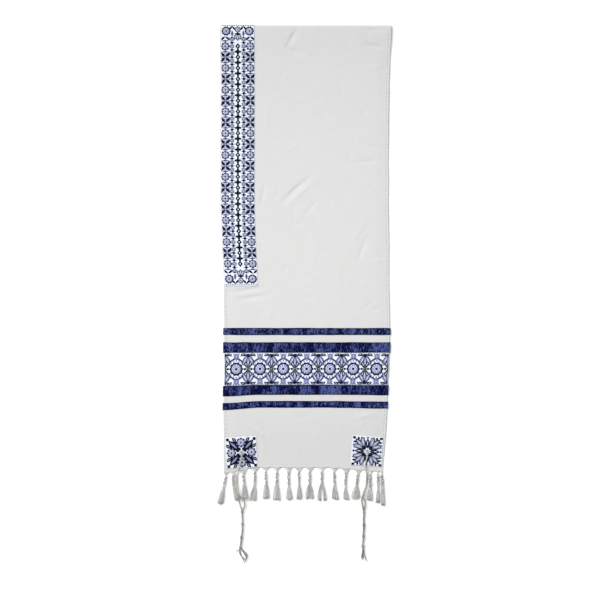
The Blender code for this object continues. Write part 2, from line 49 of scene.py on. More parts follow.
# The cloth, as in its solid. "Along" is the distance from the upper hem, over the fold and back.
CLOTH_WIDTH = 376 * MM
CLOTH_WALL = 1.2 * MM
HEM_Y = -496.5 * MM
FOLD_Y = 500 * MM
SEAM = 0.3 * MM
SET_BACK = 100 * MM
UNDER_INSET = 3 * MM
FOLD_RADIUS = 3 * MM
LYING_HEIGHT = 4 * MM
EDGE_DROP = 1.3 * MM
EDGE_ROUNDING = 32 * MM
HEM_EASE = 125 * MM
FOLD_EASE = 75 * MM
LEFT_DROOP_REACH = 85 * MM
RIGHT_DROOP_REACH = 136 * MM
FLAT_END = FOLD_Y - CLOTH_WALL / 2 - FOLD_RADIUS - HEM_Y
UNDER_START = FLAT_END + math.pi * FOLD_RADIUS
CLOTH_END = UNDER_START + FLAT_END - SET_BACK

# The side edges and how far the hem's corners droop, in millimetres.
SECTIONS = np.array([
    # along, left, right, left_droop, right_droop
    (0, -184.5, 172.5, 10.0, 7.5),
    (45, -184.7, 176.6, 9.5, 5.5),
    (100, -185.2, 180.0, 8.0, 3.5),
    (163, -185.0, 182.8, 4.0, 1.2),
    (225, -184.8, 185.9, 0.8, 0.0),
    (300, -184.4, 188.2, 0.0, 0.0),
    (350, -184.5, 188.2, 0.0, 0.0),
    (423, -185.6, 186.5, 0.0, 0.0),
    (495, -189.0, 186.0, 0.0, 0.0),
    (585, -192.2, 184.9, 0.0, 0.0),
    (729, -192.4, 185.0, 0.0, 0.0),
    (855, -192.2, 187.0, 0.0, 0.0),
    (1000, -192.9, 192.0, 0.0, 0.0),
])

# Creases of the upper half, in millimetres and degrees from +X. The broad ones are the solid's own, made
# shallower by the narrow ones that lie in them, which come after them in the same places.
CREASES = [
    # x, y, turn, length, half_width, rise, bend
    (-22, 130, 43, 100, 11, -1.1, 0),
    (6, 88, 48, 52, 10, -0.5, 0),
    (-132, -96, 6, 100, 10, -0.8, 0),
    (-118, -112, 9, 92, 11, -0.7, 0),
    (-31, 468, 62, 48, 12, -0.9, 0),
    (-22, 446, -20, 54, 11, -0.8, 0),
    (150, 452, -8, 56, 12, -0.8, 0),
    (140, 196, 3, 66, 12, -0.5, 0),
    (-97, 118, 80, 64, 9, -0.5, 0),
    (128, 2, 63, 76, 12, -0.5, 0),
    (-112, -410, -38, 54, 10, 0.5, 0),
    (-92, -438, -84, 56, 10, 0.5, 0),
    (132, -377, 8, 60, 12, 0.5, 0),
    (-22.5, 130.3, 43, 110, 4.2, -1.0, 3),
    (-12.5, 119.5, 43, 100, 7.5, 0.55, 3),
    (11.2, 87.6, 50, 46, 4.0, -0.8, 2),
    (-99, 119, 80, 66, 4.0, -0.8, -2),
    (-130, -89, 10, 96, 4.2, -1.0, -5),
    (-124, -107, 9, 98, 4.2, -0.9, -4),
    (-31.4, 469.6, 58, 62, 4.6, -1.3, 2),
    (-23.6, 443.8, -22, 62, 4.2, -1.7, -2),
    (-12, 424, -24, 38, 6, 0.5, 0),
    (153, 490, 0, 80, 5.0, -1.0, 0),
    (150.5, 452.8, -12, 54, 4.6, -1.6, 2),
    (152.8, 225.8, -2, 42, 4.2, -0.8, 1),
    (132.6, 195.5, 4, 78, 4.4, -0.8, -2),
    (-27, 67, 90, 78, 4.2, -0.5, 2),
    (128, -6.7, 72, 80, 4.4, -0.6, 3),
    (157, -137, 20, 32, 4.2, -0.6, 0),
    (-113.5, -410, -38, 62, 4.2, 0.8, 2),
    (-94.4, -440, -85, 56, 4.2, 0.8, -2),
    (136, -377.5, 8, 40, 4.2, 0.7, 1),
]
SMALL_CREASES = 46
ARCH_DEPTH = 3.2 * MM
ARCH_REACH = 16 * MM
SIDE_HEM = 7 * MM
SIDE_HEM_RISE = 0.28 * MM

# The atara and the border from the hem upwards.
ATARA_WIDTH = 75 * MM
ATARA_INSET = 2 * MM
ATARA_START = 411 * MM
ATARA_WALL = 1.2 * MM
ATARA_INNER = 13.2
ATARA_OUTER = 27.9
ATARA_END = FLAT_END + FOLD_RADIUS * (math.pi / 2 + math.radians(36))
BORDER_START = 138 * MM
BAND_HEIGHT = 72
BORDER = [
    # name (none for bare cloth), width, wall
    ("ribbon_narrow_lower", 15, 1.0),
    (None, 14, 0),
    ("ribbon_wide_lower", 22, 1.0),
    ("embroidered_band", BAND_HEIGHT, 1.2),
    ("ribbon_wide_upper", 24, 1.0),
    (None, 16, 0),
    ("ribbon_narrow_upper", 16, 1.0),
]
RIBBON_OVERHANG = 2 * MM
RIBBON_SEWN = 1.1
BAND_START = BORDER_START + sum(size for _, size, _ in BORDER[:3]) * MM
BAND_INSET = 1.5 * MM
BAND_WALL = 1.2 * MM
GROUND_WALL = 0.5 * MM
GROUND_SEWN = 1.3
PATCH_SEWN = 1.2
PATCHES = {
    # side: x, y, width, height, turn
    "left": (-144.9, -459.5, 70, 70, 3.2),
    "right": (137.3, -456.5, 70, 67, -3.5),
}
PATCH_WALL = 1.0 * MM
EYELET_HOLE = 2.6 * MM
EYELET_RADIUS = 3.9 * MM
EYELET_STITCHES = 30

# The fringe, left to right, in millimetres.
TASSELS = [
    # root_x, neck_x, tip_x, tip_y, spread, neck_length, parting
    (-179.6, -182.8, -192.6, -573, 8.0, 20, 0),
    (-164.0, -163.4, -153.8, -566, 7.6, 26, 0),
    (-140.9, -139.5, -136.6, -564, 8.0, 24, 0),
    (-115.0, -114.8, -119.8, -566, 8.0, 27, 1),
    (-91.0, -89.9, -89.2, -562, 8.8, 28, 0),
    (-65.4, -65.4, -65.6, -565, 8.8, 26, 0),
    (-39.3, -38.9, -37.3, -564, 8.4, 34, 0),
    (-16.4, -16.2, -15.3, -563, 7.2, 26, 0),
    (8.5, 7.9, 8.1, -563, 10.0, 30, 1),
    (35.3, 35.3, 36.4, -567, 8.2, 28, 2.6),
    (62.9, 63.8, 66.3, -564, 8.4, 30, 0),
    (89.9, 88.1, 90.8, -564, 6.8, 34, 0),
    (116.4, 113.7, 111.2, -563, 9.4, 26, 1),
    (144.6, 144.0, 143.4, -566, 8.2, 34, 0),
    (161.4, 161.8, 161.6, -571, 5.4, 22, 0),
    (170.1, 171.4, 172.4, -577, 5.0, 26, 0),
]
NECK_START = 8 * MM
NECK_LIE = 3.1 * MM
PLY_RADIUS = 1.8 * MM
PLY_FILL = 1.45 * MM
NECK_PITCH = 15 * MM
BEAD_PITCH = 11 * MM
YARN_RADIUS = 0.24 * MM
YARNS = 84
GOLDEN_ANGLE = 2.39996
DRAWN_STEPS = np.array([0, 0.3, 0.62])
NECK_STEPS = 14
SKIRT_STEPS = np.array([0.14, 0.29, 0.45, 0.62, 0.8, 0.92, 1.0])

# The embroidery's layers in millimetres: where each starts, how high its threads stand, and how much
# neighbours in a layer differ, so that no two lie in one plane. TRIM is the stretch drawn in at an edge.
LAYER_BASE = (-0.08, 0.26, 0.46, 0.62)
LAYER_HEIGHT = (0.58, 0.50, 0.44, 0.40)
OVERLAP = 0.007
TRIM = 1.2
SEWING_HEIGHT = 0.34

# The lights, in Blender's own units and metres.
FILL = 0.395
KEY = 2.5
KEY_FROM = (-0.55, 0.6, 0.62)
OVERHEAD = 6.6
OVERHEAD_PLACE = (-0.10, 0.0, 1.05)

# The camera looks straight down. The photograph's middle and width are these places on the floor.
VIEW_MIDDLE = (-13.5 * MM, -116.8 * MM)
VIEW_WIDTH = 1348.2 * MM
CAMERA_HEIGHT = 8.0


def smooth(t):
    t = np.clip(t, 0.0, 1.0)
    return t * t * (3 - 2 * t)


def cos_sin(turn):
    """The cosine and sine of an angle in degrees."""
    return math.cos(math.radians(turn)), math.sin(math.radians(turn))


def uneven(x, y, seed):
    """Smooth unevenness from -1 to 1 over a plane, one cell to a unit, the same on each run."""
    cell_x, cell_y = np.floor(x), np.floor(y)
    across, along = smooth(x - cell_x), smooth(y - cell_y)

    def corner(dx, dy):
        spot = np.sin((cell_x + dx) * 127.1 + (cell_y + dy) * 311.7 + seed * 74.7) * 43758.5453
        return (spot - np.floor(spot)) * 2 - 1

    low = corner(0, 0) * (1 - across) + corner(1, 0) * across
    high = corner(0, 1) * (1 - across) + corner(1, 1) * across
    return low * (1 - along) + high * along


def section(along, column):
    """A column of SECTIONS at a distance from the hem, on a smooth curve through its rows, in metres."""
    place, value = SECTIONS[:, 0], SECTIONS[:, column]
    at = np.clip(along / MM, place[0], place[-1])
    low = np.clip(np.searchsorted(place, at, side="right") - 1, 0, len(place) - 2)
    high = low + 1
    before, after = np.maximum(low - 1, 0), np.minimum(low + 2, len(place) - 1)
    span = place[high] - place[low]
    t = (at - place[low]) / span
    rise_low = (value[high] - value[before]) / (place[high] - place[before]) * span
    rise_high = (value[after] - value[low]) / (place[after] - place[low]) * span
    curve = (
        (2 * t**3 - 3 * t**2 + 1) * value[low]
        + (t**3 - 2 * t**2 + t) * rise_low
        + (3 * t**2 - 2 * t**3) * value[high]
        + (t**3 - t**2) * rise_high
    )
    return curve * MM


def small_creases():
    """Faint short creases all over the upper half, placed by the golden angle so that none repeats."""
    rows = []
    for k in range(SMALL_CREASES):
        share = (k + 0.5) / SMALL_CREASES
        x = -175 + 350 * ((k * 0.618034) % 1)
        y = -470 + 950 * share
        turn = (k * 137.5) % 180
        length = 26 + 44 * ((k * 0.414) % 1)
        half_width = 4 + 5 * ((k * 0.732) % 1)
        rise = 0.42 if k % 3 == 0 else -0.42
        rows.append((x, y, turn, length, half_width, rise, 3 - 6 * ((k * 0.236) % 1)))
    return rows


ALL_CREASES = CREASES + small_creases()


def crease_rise(x, y):
    """How far the creases lift or lower the upper half: each is a bell across and along a bent line."""
    total = np.zeros_like(x)
    for cx, cy, turn, length, half_width, rise, bend in ALL_CREASES:
        c, s = cos_sin(turn)
        dx, dy = x - cx * MM, y - cy * MM
        lengthways = np.clip((dx * c + dy * s) / (length * MM / 2), -1, 1)
        bowed = dy * c - dx * s - bend * MM * (1 - lengthways**2)
        sideways = np.clip(bowed / (half_width * MM), -1, 1)
        bell = np.cos(math.pi / 2 * sideways) ** 2 * np.cos(math.pi / 2 * lengthways)
        # The broad creases keep their depth. The narrow ones are a little uneven, and a fifth deeper.
        depth = 1 if half_width > 8 else 1.2 + 0.3 * np.sin(5 * lengthways + cx)
        total += rise * MM * bell * depth
    return total


def hem_arch(x, along):
    """The upper hem's arches: between two tassels its warp is drawn to their roots."""
    roots = np.array([row[0] for row in TASSELS]) * MM
    low = np.clip(np.searchsorted(roots, x) - 1, 0, len(roots) - 2)
    t = np.clip((x - roots[low]) / (roots[low + 1] - roots[low]), 0, 1)
    wide = np.clip((roots[low + 1] - roots[low]) / (25 * MM), 0.3, 1)
    arch = ARCH_DEPTH * wide * np.sqrt(np.sin(math.pi * t))
    return arch * (1 - smooth(along / ARCH_REACH))


def across_place(across, left, right):
    """The first stretch from the left keeps its width, for the atara, and the rest takes up the change."""
    kept = ATARA_INSET + ATARA_WIDTH
    rest = left + kept + (across - kept) * (right - left - kept) / (CLOTH_WIDTH - kept)
    return np.where(across <= kept, left + across, rest)


def cloth_middle(across, along):
    """Points in the middle of the cloth's wall, at distances from its left edge and from the upper hem."""
    across, along = np.broadcast_arrays(np.asarray(across, float), np.asarray(along, float))
    mirrored = np.minimum(along, UNDER_START + FLAT_END - along)
    inset = UNDER_INSET * smooth((along - UNDER_START) / FOLD_EASE)
    left, right = section(mirrored, 1) + inset, section(mirrored, 2) - inset
    from_side = np.minimum(across, CLOTH_WIDTH - across)
    sway = uneven(along / (46 * MM), across / CLOTH_WIDTH, 3) * (1 - smooth(from_side / (20 * MM)))
    x = across_place(across, left, right) + 0.7 * MM * sway
    left_droop = section(along, 3) * (1 - smooth((x - left) / LEFT_DROOP_REACH))
    right_droop = section(along, 4) * (1 - smooth((right - x) / RIGHT_DROOP_REACH))
    upper_y = HEM_Y + along - left_droop - right_droop + hem_arch(x, along)

    side = 1 - smooth(from_side / EDGE_ROUNDING)
    lying = LYING_HEIGHT - EDGE_DROP * side
    fold = smooth((along - (FLAT_END - FOLD_EASE)) / FOLD_EASE)
    resting = CLOTH_WALL / 2
    height = resting + (lying - resting) * smooth(along / HEM_EASE)
    height = height + (resting + 2 * FOLD_RADIUS - height) * fold
    swell = 0.4 * uneven(x / (95 * MM), along / (130 * MM), 1)
    swell = swell + 0.14 * uneven(x / (34 * MM), along / (47 * MM), 2)
    lively = smooth(along / (40 * MM)) * (1 - fold)
    upper_z = height + crease_rise(x, upper_y) * smooth(along / (12 * MM)) + swell * MM * lively

    turn = np.clip((along - FLAT_END) / FOLD_RADIUS, 0, math.pi)
    fold_y = HEM_Y + FLAT_END + FOLD_RADIUS * np.sin(turn)
    fold_z = CLOTH_WALL / 2 + FOLD_RADIUS * (1 + np.cos(turn))
    under_y = HEM_Y + FLAT_END - (along - UNDER_START)
    y = np.where(along <= FLAT_END, upper_y, np.where(along < UNDER_START, fold_y, under_y))
    z = np.where(along <= FLAT_END, upper_z, np.where(along < UNDER_START, fold_z, CLOTH_WALL / 2))
    return np.stack([x, y, z], axis=-1)


def cloth_out(across, along):
    """Unit vectors out of the cloth's face, upwards on the upper half."""
    step = 0.6 * MM
    sideways = cloth_middle(across + step, along) - cloth_middle(across - step, along)
    lengthways = cloth_middle(across, along + step) - cloth_middle(across, along - step)
    out = np.cross(sideways, lengthways)
    return out / np.linalg.norm(out, axis=-1, keepdims=True)


def over_cloth(across, along, lift):
    """Points at a height over the cloth's outer face."""
    height = (CLOTH_WALL / 2 + np.asarray(lift))[..., None]
    return cloth_middle(across, along) + cloth_out(across, along) * height


def place_on_upper(x, y):
    """The distances across and along of places on the upper half near the hem, found by stepping to them."""
    across, along = x - section(np.zeros_like(x), 1), y - HEM_Y
    for _ in range(14):
        off = cloth_middle(across, along)
        across = across - (off[..., 0] - x)
        along = along - (off[..., 1] - y)
    return across, along


def srgb(code):
    """A hex colour as linear red, green, blue and alpha."""
    values = [int(code[k : k + 2], 16) / 255 for k in (1, 3, 5)]
    linear = [v / 12.92 if v <= 0.04045 else ((v + 0.055) / 1.055) ** 2.4 for v in values]
    return (*linear, 1)


def add_node(tree, kind, settings=None, values=None, links=None):
    """Adds a node with its settings, its sockets' values and its links, and returns it."""
    made = tree.nodes.new(kind)
    for name, value in (settings or {}).items():
        setattr(made, name, value)
    for socket, value in (values or {}).items():
        made.inputs[socket].default_value = value
    for socket, source in (links or {}).items():
        tree.links.new(source, made.inputs[socket])
    return made


def start_material(name, colour, roughness):
    material = bpy.data.materials.new(name)
    material.use_nodes = True
    shader = material.node_tree.nodes["Principled BSDF"]
    shader.inputs["Base Color"].default_value = srgb(colour)
    shader.inputs["Roughness"].default_value = roughness
    return material, material.node_tree, shader


def colour_between(tree, shader, factor, low, high, start=0.3, end=0.7):
    """Runs the base colour from low to high as the factor goes from start to end."""
    ramp = add_node(tree, "ShaderNodeValToRGB", links={"Fac": factor})
    ramp.color_ramp.elements[0].position = start
    ramp.color_ramp.elements[0].color = srgb(low)
    ramp.color_ramp.elements[1].position = end
    ramp.color_ramp.elements[1].color = srgb(high)
    tree.links.new(ramp.outputs["Color"], shader.inputs["Base Color"])


def bands(spacing):
    """The scale that sets a wave texture's bands this far apart."""
    return math.pi / 10 / spacing


def woven_wool():
    """Fine wool and viscose, plain woven and pressed: matt, with a faint nap and slubs along both threads."""
    material, tree, shader = start_material("wool and viscose cloth, plain woven", "#C5C5C5", 0.92)
    shader.inputs["Sheen Weight"].default_value = 0.12
    shader.inputs["Sheen Roughness"].default_value = 0.5
    shader.inputs["Specular IOR Level"].default_value = 0.25
    uv = add_node(tree, "ShaderNodeUVMap", {"uv_map": "cloth"}).outputs["UV"]
    # The threads are drawn 1.1 mm apart, twice their real spacing, so that the weave shows from close by.
    threads = []
    for direction in ("X", "Y"):
        wave = add_node(
            tree, "ShaderNodeTexWave", {"bands_direction": direction},
            {"Scale": bands(1.1 * MM), "Distortion": 0.6}, {"Vector": uv},
        )
        threads.append(wave.outputs["Fac"])
    weave = add_node(tree, "ShaderNodeMath", {"operation": "MULTIPLY"}, None, dict(enumerate(threads)))
    # Slubs: thicker stretches of thread, 2 mm apart and 30 mm long, along the warp and along the weft.
    slubs = []
    for spacing in ((2, 30), (34, 2)):
        mapping = add_node(
            tree, "ShaderNodeMapping", None, {"Scale": (1 / spacing[0] / MM, 1 / spacing[1] / MM, 1)},
            {"Vector": uv},
        )
        noise = add_node(
            tree, "ShaderNodeTexNoise", {"noise_dimensions": "2D"}, {"Scale": 1.0, "Detail": 2.0},
            {"Vector": mapping.outputs["Vector"]},
        )
        slubs.append(noise.outputs["Fac"])
    slub = add_node(tree, "ShaderNodeMath", {"operation": "ADD"}, None, dict(enumerate(slubs)))
    half = add_node(tree, "ShaderNodeMath", {"operation": "MULTIPLY"}, {1: 0.5}, {0: slub.outputs[0]})
    colour_between(tree, shader, half.outputs[0], "#C5C5C5", "#C9C9C8", 0.35, 0.65)
    fine = add_node(
        tree, "ShaderNodeBump", None, {"Strength": 0.3, "Distance": 0.10 * MM}, {"Height": weave.outputs[0]}
    )
    broad = add_node(
        tree, "ShaderNodeBump", None, {"Strength": 0.3, "Distance": 0.06 * MM},
        {"Height": half.outputs[0], "Normal": fine.outputs["Normal"]},
    )
    tree.links.new(broad.outputs["Normal"], shader.inputs["Normal"])
    return material


def crinkled_silk():
    """Silk dupion, woven and heat-crinkled: its low sheen painted into the colour as paler flecks, and dark
    pressed edges.
    """
    material, tree, shader = start_material("silk dupion ribbon, woven and crinkled", "#1C2658", 0.4)
    shader.inputs["Specular IOR Level"].default_value = 0.03
    uv = add_node(tree, "ShaderNodeUVMap", {"uv_map": "cloth"}).outputs["UV"]
    # Paler flecks of painted sheen, 3 mm wide and 6 mm long, as the crinkles run across the ribbon, in broad
    # bars 15 mm wide.
    mapping = add_node(
        tree, "ShaderNodeMapping", None, {"Scale": (1 / 3 / MM, 1 / 6 / MM, 1)}, {"Vector": uv}
    )
    sheen_flecks = add_node(
        tree, "ShaderNodeTexNoise", {"noise_dimensions": "2D"},
        {"Scale": 1.0, "Detail": 3.0, "Roughness": 0.5, "Distortion": 0.6},
        {"Vector": mapping.outputs["Vector"]},
    )
    wide = add_node(
        tree, "ShaderNodeMapping", None, {"Scale": (1 / 15 / MM, 1 / 50 / MM, 1)}, {"Vector": uv}
    )
    bars = add_node(
        tree, "ShaderNodeTexNoise", {"noise_dimensions": "2D"}, {"Scale": 1.0, "Detail": 1.0},
        {"Vector": wide.outputs["Vector"]},
    )
    painted_sheen = add_node(
        tree, "ShaderNodeMath", {"operation": "MULTIPLY_ADD"}, {1: 0.65},
        {0: bars.outputs["Fac"], 2: sheen_flecks.outputs["Fac"]},
    )
    # Darker along the pressed edges, with less of the painted sheen there.
    edge = add_node(tree, "ShaderNodeAttribute", {"attribute_name": "edge"})
    darker = add_node(
        tree, "ShaderNodeMath", {"operation": "MULTIPLY_ADD"}, {1: -0.3},
        {0: edge.outputs["Fac"], 2: painted_sheen.outputs[0]},
    )
    # The colour runs from deep navy up to the pale flecks of painted sheen.
    colour_between(tree, shader, darker.outputs[0], "#00022E", "#46548B", 0.77, 1.0)
    # Weft threads 0.6 mm apart, drawn at their real spacing.
    threads = add_node(
        tree, "ShaderNodeTexWave", {"bands_direction": "Y"}, {"Scale": bands(0.6 * MM), "Distortion": 1.5},
        {"Vector": uv},
    )
    bump = add_node(
        tree, "ShaderNodeBump", None, {"Strength": 0.3, "Distance": 0.08 * MM},
        {"Height": threads.outputs["Fac"]},
    )
    broad = add_node(
        tree, "ShaderNodeBump", None, {"Strength": 0.6, "Distance": 0.35 * MM},
        {"Height": sheen_flecks.outputs["Fac"], "Normal": bump.outputs["Normal"]},
    )
    tree.links.new(broad.outputs["Normal"], shader.inputs["Normal"])
    return material


def sateen(name, colour, shade):
    """Cotton sateen, woven close as a ground for embroidery: smooth, near white, with a soft gloss."""
    material, tree, shader = start_material(name, colour, 0.7)
    shader.inputs["Sheen Weight"].default_value = 0.1
    uv = add_node(tree, "ShaderNodeUVMap", {"uv_map": "cloth"}).outputs["UV"]
    # Diagonal floats 0.8 mm apart, twice their real spacing.
    mapping = add_node(
        tree, "ShaderNodeMapping", None, {"Rotation": (0, 0, math.radians(52))}, {"Vector": uv}
    )
    floats = add_node(
        tree, "ShaderNodeTexWave", {"bands_direction": "X"}, {"Scale": bands(0.8 * MM), "Distortion": 0.8},
        {"Vector": mapping.outputs["Vector"]},
    )
    patches = add_node(
        tree, "ShaderNodeTexNoise", {"noise_dimensions": "2D"}, {"Scale": 1 / 9 / MM, "Detail": 3.0},
        {"Vector": uv},
    )
    colour_between(tree, shader, patches.outputs["Fac"], shade, colour)
    bump = add_node(
        tree, "ShaderNodeBump", None, {"Strength": 0.3, "Distance": 0.08 * MM},
        {"Height": floats.outputs["Fac"]},
    )
    tree.links.new(bump.outputs["Normal"], shader.inputs["Normal"])
    return material


def satin_stitch(name, colour, light, gloss=0.2):
    """Rayon thread laid side by side in satin stitch: glossy lengthways, with a line between threads. Each
    thread's crown is painted lighter as a highlight, and the line between threads darker as shade.
    """
    material, tree, shader = start_material(name, colour, 0.45)
    shader.inputs["Specular IOR Level"].default_value = gloss
    shader.inputs["Anisotropic"].default_value = 0.6
    uv = add_node(tree, "ShaderNodeUVMap", {"uv_map": "cloth"}).outputs["UV"]
    # Threads 0.5 mm apart, side by side along each shape, a little coarser than real rayon's 0.4 mm.
    threads = add_node(
        tree, "ShaderNodeTexWave", {"bands_direction": "X"},
        {"Scale": bands(0.5 * MM), "Distortion": 1.2, "Detail": 1.0}, {"Vector": uv},
    )
    # Painted highlight and shade: each thread runs from its colour in the line between threads to the light
    # colour at its crown.
    colour_between(tree, shader, threads.outputs["Fac"], colour, light, 0.1, 0.95)
    bump = add_node(
        tree, "ShaderNodeBump", None, {"Strength": 0.7, "Distance": 0.12 * MM},
        {"Height": threads.outputs["Fac"]},
    )
    tangent = add_node(tree, "ShaderNodeTangent", {"direction_type": "UV_MAP", "uv_map": "cloth"})
    tree.links.new(tangent.outputs["Tangent"], shader.inputs["Tangent"])
    tree.links.new(bump.outputs["Normal"], shader.inputs["Normal"])
    return material


def spun_yarn(name, colour, shade, pitch):
    """Spun and plied yarn: matt and fibrous, with a twist whose grooves between the plies are darkened with
    painted shade.
    """
    material, tree, shader = start_material(name, colour, 0.9)
    shader.inputs["Sheen Weight"].default_value = 0.1
    shader.inputs["Specular IOR Level"].default_value = 0.2
    uv = add_node(tree, "ShaderNodeUVMap", {"uv_map": "cloth"}).outputs["UV"]
    # One turn of the twist to each pitch along the yarn: u goes once round it and v is its length.
    mapping = add_node(
        tree, "ShaderNodeMapping", None, {"Scale": (1, 1 / pitch, 1)}, {"Vector": uv}
    )
    twist = add_node(
        tree, "ShaderNodeTexWave", {"bands_direction": "DIAGONAL"}, {"Scale": math.pi / 5, "Distortion": 1.0},
        {"Vector": mapping.outputs["Vector"]},
    )
    place = add_node(tree, "ShaderNodeTexCoord")
    fibres = add_node(
        tree, "ShaderNodeTexNoise", None, {"Scale": 1 / 5 / MM, "Detail": 4.0, "Roughness": 0.7},
        {"Vector": place.outputs["Object"]},
    )
    # The twist's bands are painted shade between the plies; the fibres' noise is the yarn's own uneven tone.
    both = add_node(
        tree, "ShaderNodeMath", {"operation": "MULTIPLY_ADD"}, {1: 0.45},
        {0: twist.outputs["Fac"], 2: fibres.outputs["Fac"]},
    )
    # Each point's own darkening: uneven tone, and in the tassels painted shade as well.
    own = add_node(tree, "ShaderNodeAttribute", {"attribute_name": "shade"})
    darker = add_node(
        tree, "ShaderNodeMath", {"operation": "MULTIPLY_ADD"}, {1: -0.5},
        {0: own.outputs["Fac"], 2: both.outputs[0]},
    )
    colour_between(tree, shader, darker.outputs[0], shade, colour, 0.35, 0.8)
    bump = add_node(
        tree, "ShaderNodeBump", None, {"Strength": 0.6, "Distance": 0.12 * MM}, {"Height": both.outputs[0]}
    )
    tree.links.new(bump.outputs["Normal"], shader.inputs["Normal"])
    return material


def seamless_paper():
    """White seamless paper, matt, under the shawl."""
    material, tree, shader = start_material("seamless background paper, matt", "#FDFDFD", 1.0)
    place = add_node(tree, "ShaderNodeTexCoord")
    grain = add_node(
        tree, "ShaderNodeTexNoise", None, {"Scale": 60.0, "Detail": 3.0}, {"Vector": place.outputs["Object"]}
    )
    colour_between(tree, shader, grain.outputs["Fac"], "#FCFCFC", "#FEFEFE")
    return material


def new_piece(name, points, faces, corner_uv, material, replaces=()):
    """A piece from arrays of points and faces, with a UV for each face corner, on the shawl's one body."""
    mesh = bpy.data.meshes.new(name)
    mesh.from_pydata(np.asarray(points).tolist(), [], faces)
    layer = mesh.uv_layers.new(name="cloth")
    layer.data.foreach_set("uv", np.asarray(corner_uv, np.float32).ravel())
    mesh.materials.append(material)
    piece = bpy.data.objects.new(name, mesh)
    bpy.context.scene.collection.objects.link(piece)
    mesh.shade_smooth()
    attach(piece, "root")
    if replaces:
        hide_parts(*replaces)
    return piece


def apply_modifiers(piece):
    bpy.ops.object.select_all(action="DESELECT")
    bpy.context.view_layer.objects.active = piece
    piece.select_set(True)
    for modifier in list(piece.modifiers):
        bpy.ops.object.modifier_apply(modifier=modifier.name)
    piece.select_set(False)


def lay_sheet(name, columns, rows, place, wall, material, replaces, edge=None):
    """A sheet through place(u, v) at each crossing of a grid, its outer face there and its wall under it."""
    u, v = np.meshgrid(columns, rows)
    points = place(u, v).reshape(-1, 3)
    count = len(columns)
    faces = []
    for row in range(len(rows) - 1):
        for k in range(row * count, row * count + count - 1):
            faces.append((k, k + 1, k + 1 + count, k + count))
    order = np.array(faces).ravel()
    uv = np.stack([u.ravel(), v.ravel()], axis=1)[order]
    piece = new_piece(name, points, faces, uv, material, replaces)
    if edge is not None:
        attribute = piece.data.attributes.new("edge", "FLOAT", "POINT")
        attribute.data.foreach_set("value", edge(u, v).ravel().astype(np.float32))
    solidify = piece.modifiers.new("wall", "SOLIDIFY")
    solidify.thickness = wall
    solidify.offset = -1
    solidify.use_even_offset = True
    apply_modifiers(piece)
    return piece


def lines(start, end, step):
    return np.linspace(start, end, max(2, round((end - start) / step) + 1))


def shawl_cloth(material):
    """The cloth: a thin shell with the solid's outer face, a turned hem down each side and an arched hem."""

    def place(across, along):
        from_side = np.minimum(across, CLOTH_WIDTH - across)
        upper = 1 - smooth((along - (FLAT_END - 20 * MM)) / (20 * MM))
        hem = 1 - smooth((from_side - SIDE_HEM) / (0.8 * MM))
        stitched = np.exp(-(((from_side - SIDE_HEM + 1.4 * MM) / (0.9 * MM)) ** 2))
        pucker_along = 0.5 + 0.5 * uneven(along / (5 * MM), across * 0 + 4, 8)
        return over_cloth(across, along, (SIDE_HEM_RISE * hem * pucker_along - 0.3 * MM * stitched) * upper)

    hem_columns = np.array([0, 1.2, 2.8, 4.4, 5.4, 6.2, 7.0, 7.8]) * MM
    inner = lines(10.5 * MM, CLOTH_WIDTH - 10.5 * MM, 3.2 * MM)
    columns = np.concatenate([hem_columns, inner, (CLOTH_WIDTH - hem_columns)[::-1]])
    rows = np.concatenate([
        lines(0, 12 * MM, 2 * MM)[:-1],
        lines(12 * MM, FLAT_END, 3.4 * MM)[:-1],
        lines(FLAT_END, UNDER_START, 0.6 * MM)[:-1],
        lines(UNDER_START, UNDER_START + FOLD_EASE, 8 * MM)[:-1],
        lines(UNDER_START + FOLD_EASE, CLOTH_END, 30 * MM),
    ])
    return lay_sheet("shawl_cloth", columns, rows, place, 0.8 * MM, material, ["cloth_panel"])


def crinkle(across, along, seed):
    """The silk's crinkles: ridges across the ribbon, uneven in width and height."""
    bent = across / (5.2 * MM) + 0.5 * uneven(along / (9 * MM), across * 0, seed)
    broad = 1 - np.abs(uneven(bent, along / (19 * MM), seed))
    fine = uneven(across / (2.1 * MM), along / (7 * MM), seed + 5)
    return 0.42 * broad + 0.14 * fine


def ribbon(name, start, end, wall, seed, material):
    """A crinkled ribbon, pressed flat along its sewn edges and ending a little past the cloth's sides."""
    middle, half = (start + end) / 2, (end - start) / 2 - SEAM / 2

    def flat_edge(across, along):
        return 1 - smooth((half - np.abs(along - middle)) / (2.6 * MM))

    def place(across, along):
        loose = 1 - flat_edge(across, along)
        waver = 0.35 * MM * uneven(across / (24 * MM), along * 0 + seed, 9) * np.sign(along - middle)
        lift = SEAM + (wall - 0.45) * MM + crinkle(across, along, seed) * MM * (0.25 + 0.75 * loose)
        return over_cloth(across, along + waver * (1 - loose), lift)

    columns = lines(-RIBBON_OVERHANG, CLOTH_WIDTH + RIBBON_OVERHANG, 0.95 * MM)
    rows = lines(middle - half, middle + half, 1.5 * MM)
    return lay_sheet(name + "_silk", columns, rows, place, 0.3 * MM, material, [name], flat_edge)


def pucker(across, along):
    """The fine unevenness of a ground pulled by its embroidery."""
    return 0.16 * MM * uneven(across / (8 * MM), along / (8 * MM), 21)


def ground(name, columns, rows, where, wall, material):
    """A ground for embroidery. where(u, v) gives its distances across and along the cloth."""

    def place(u, v):
        across, along = where(u, v)
        return over_cloth(across, along, SEAM + wall - GROUND_WALL + pucker(across, along))

    piece = name + "_ground"
    return lay_sheet(piece, columns, rows, place, GROUND_WALL, material, [name])


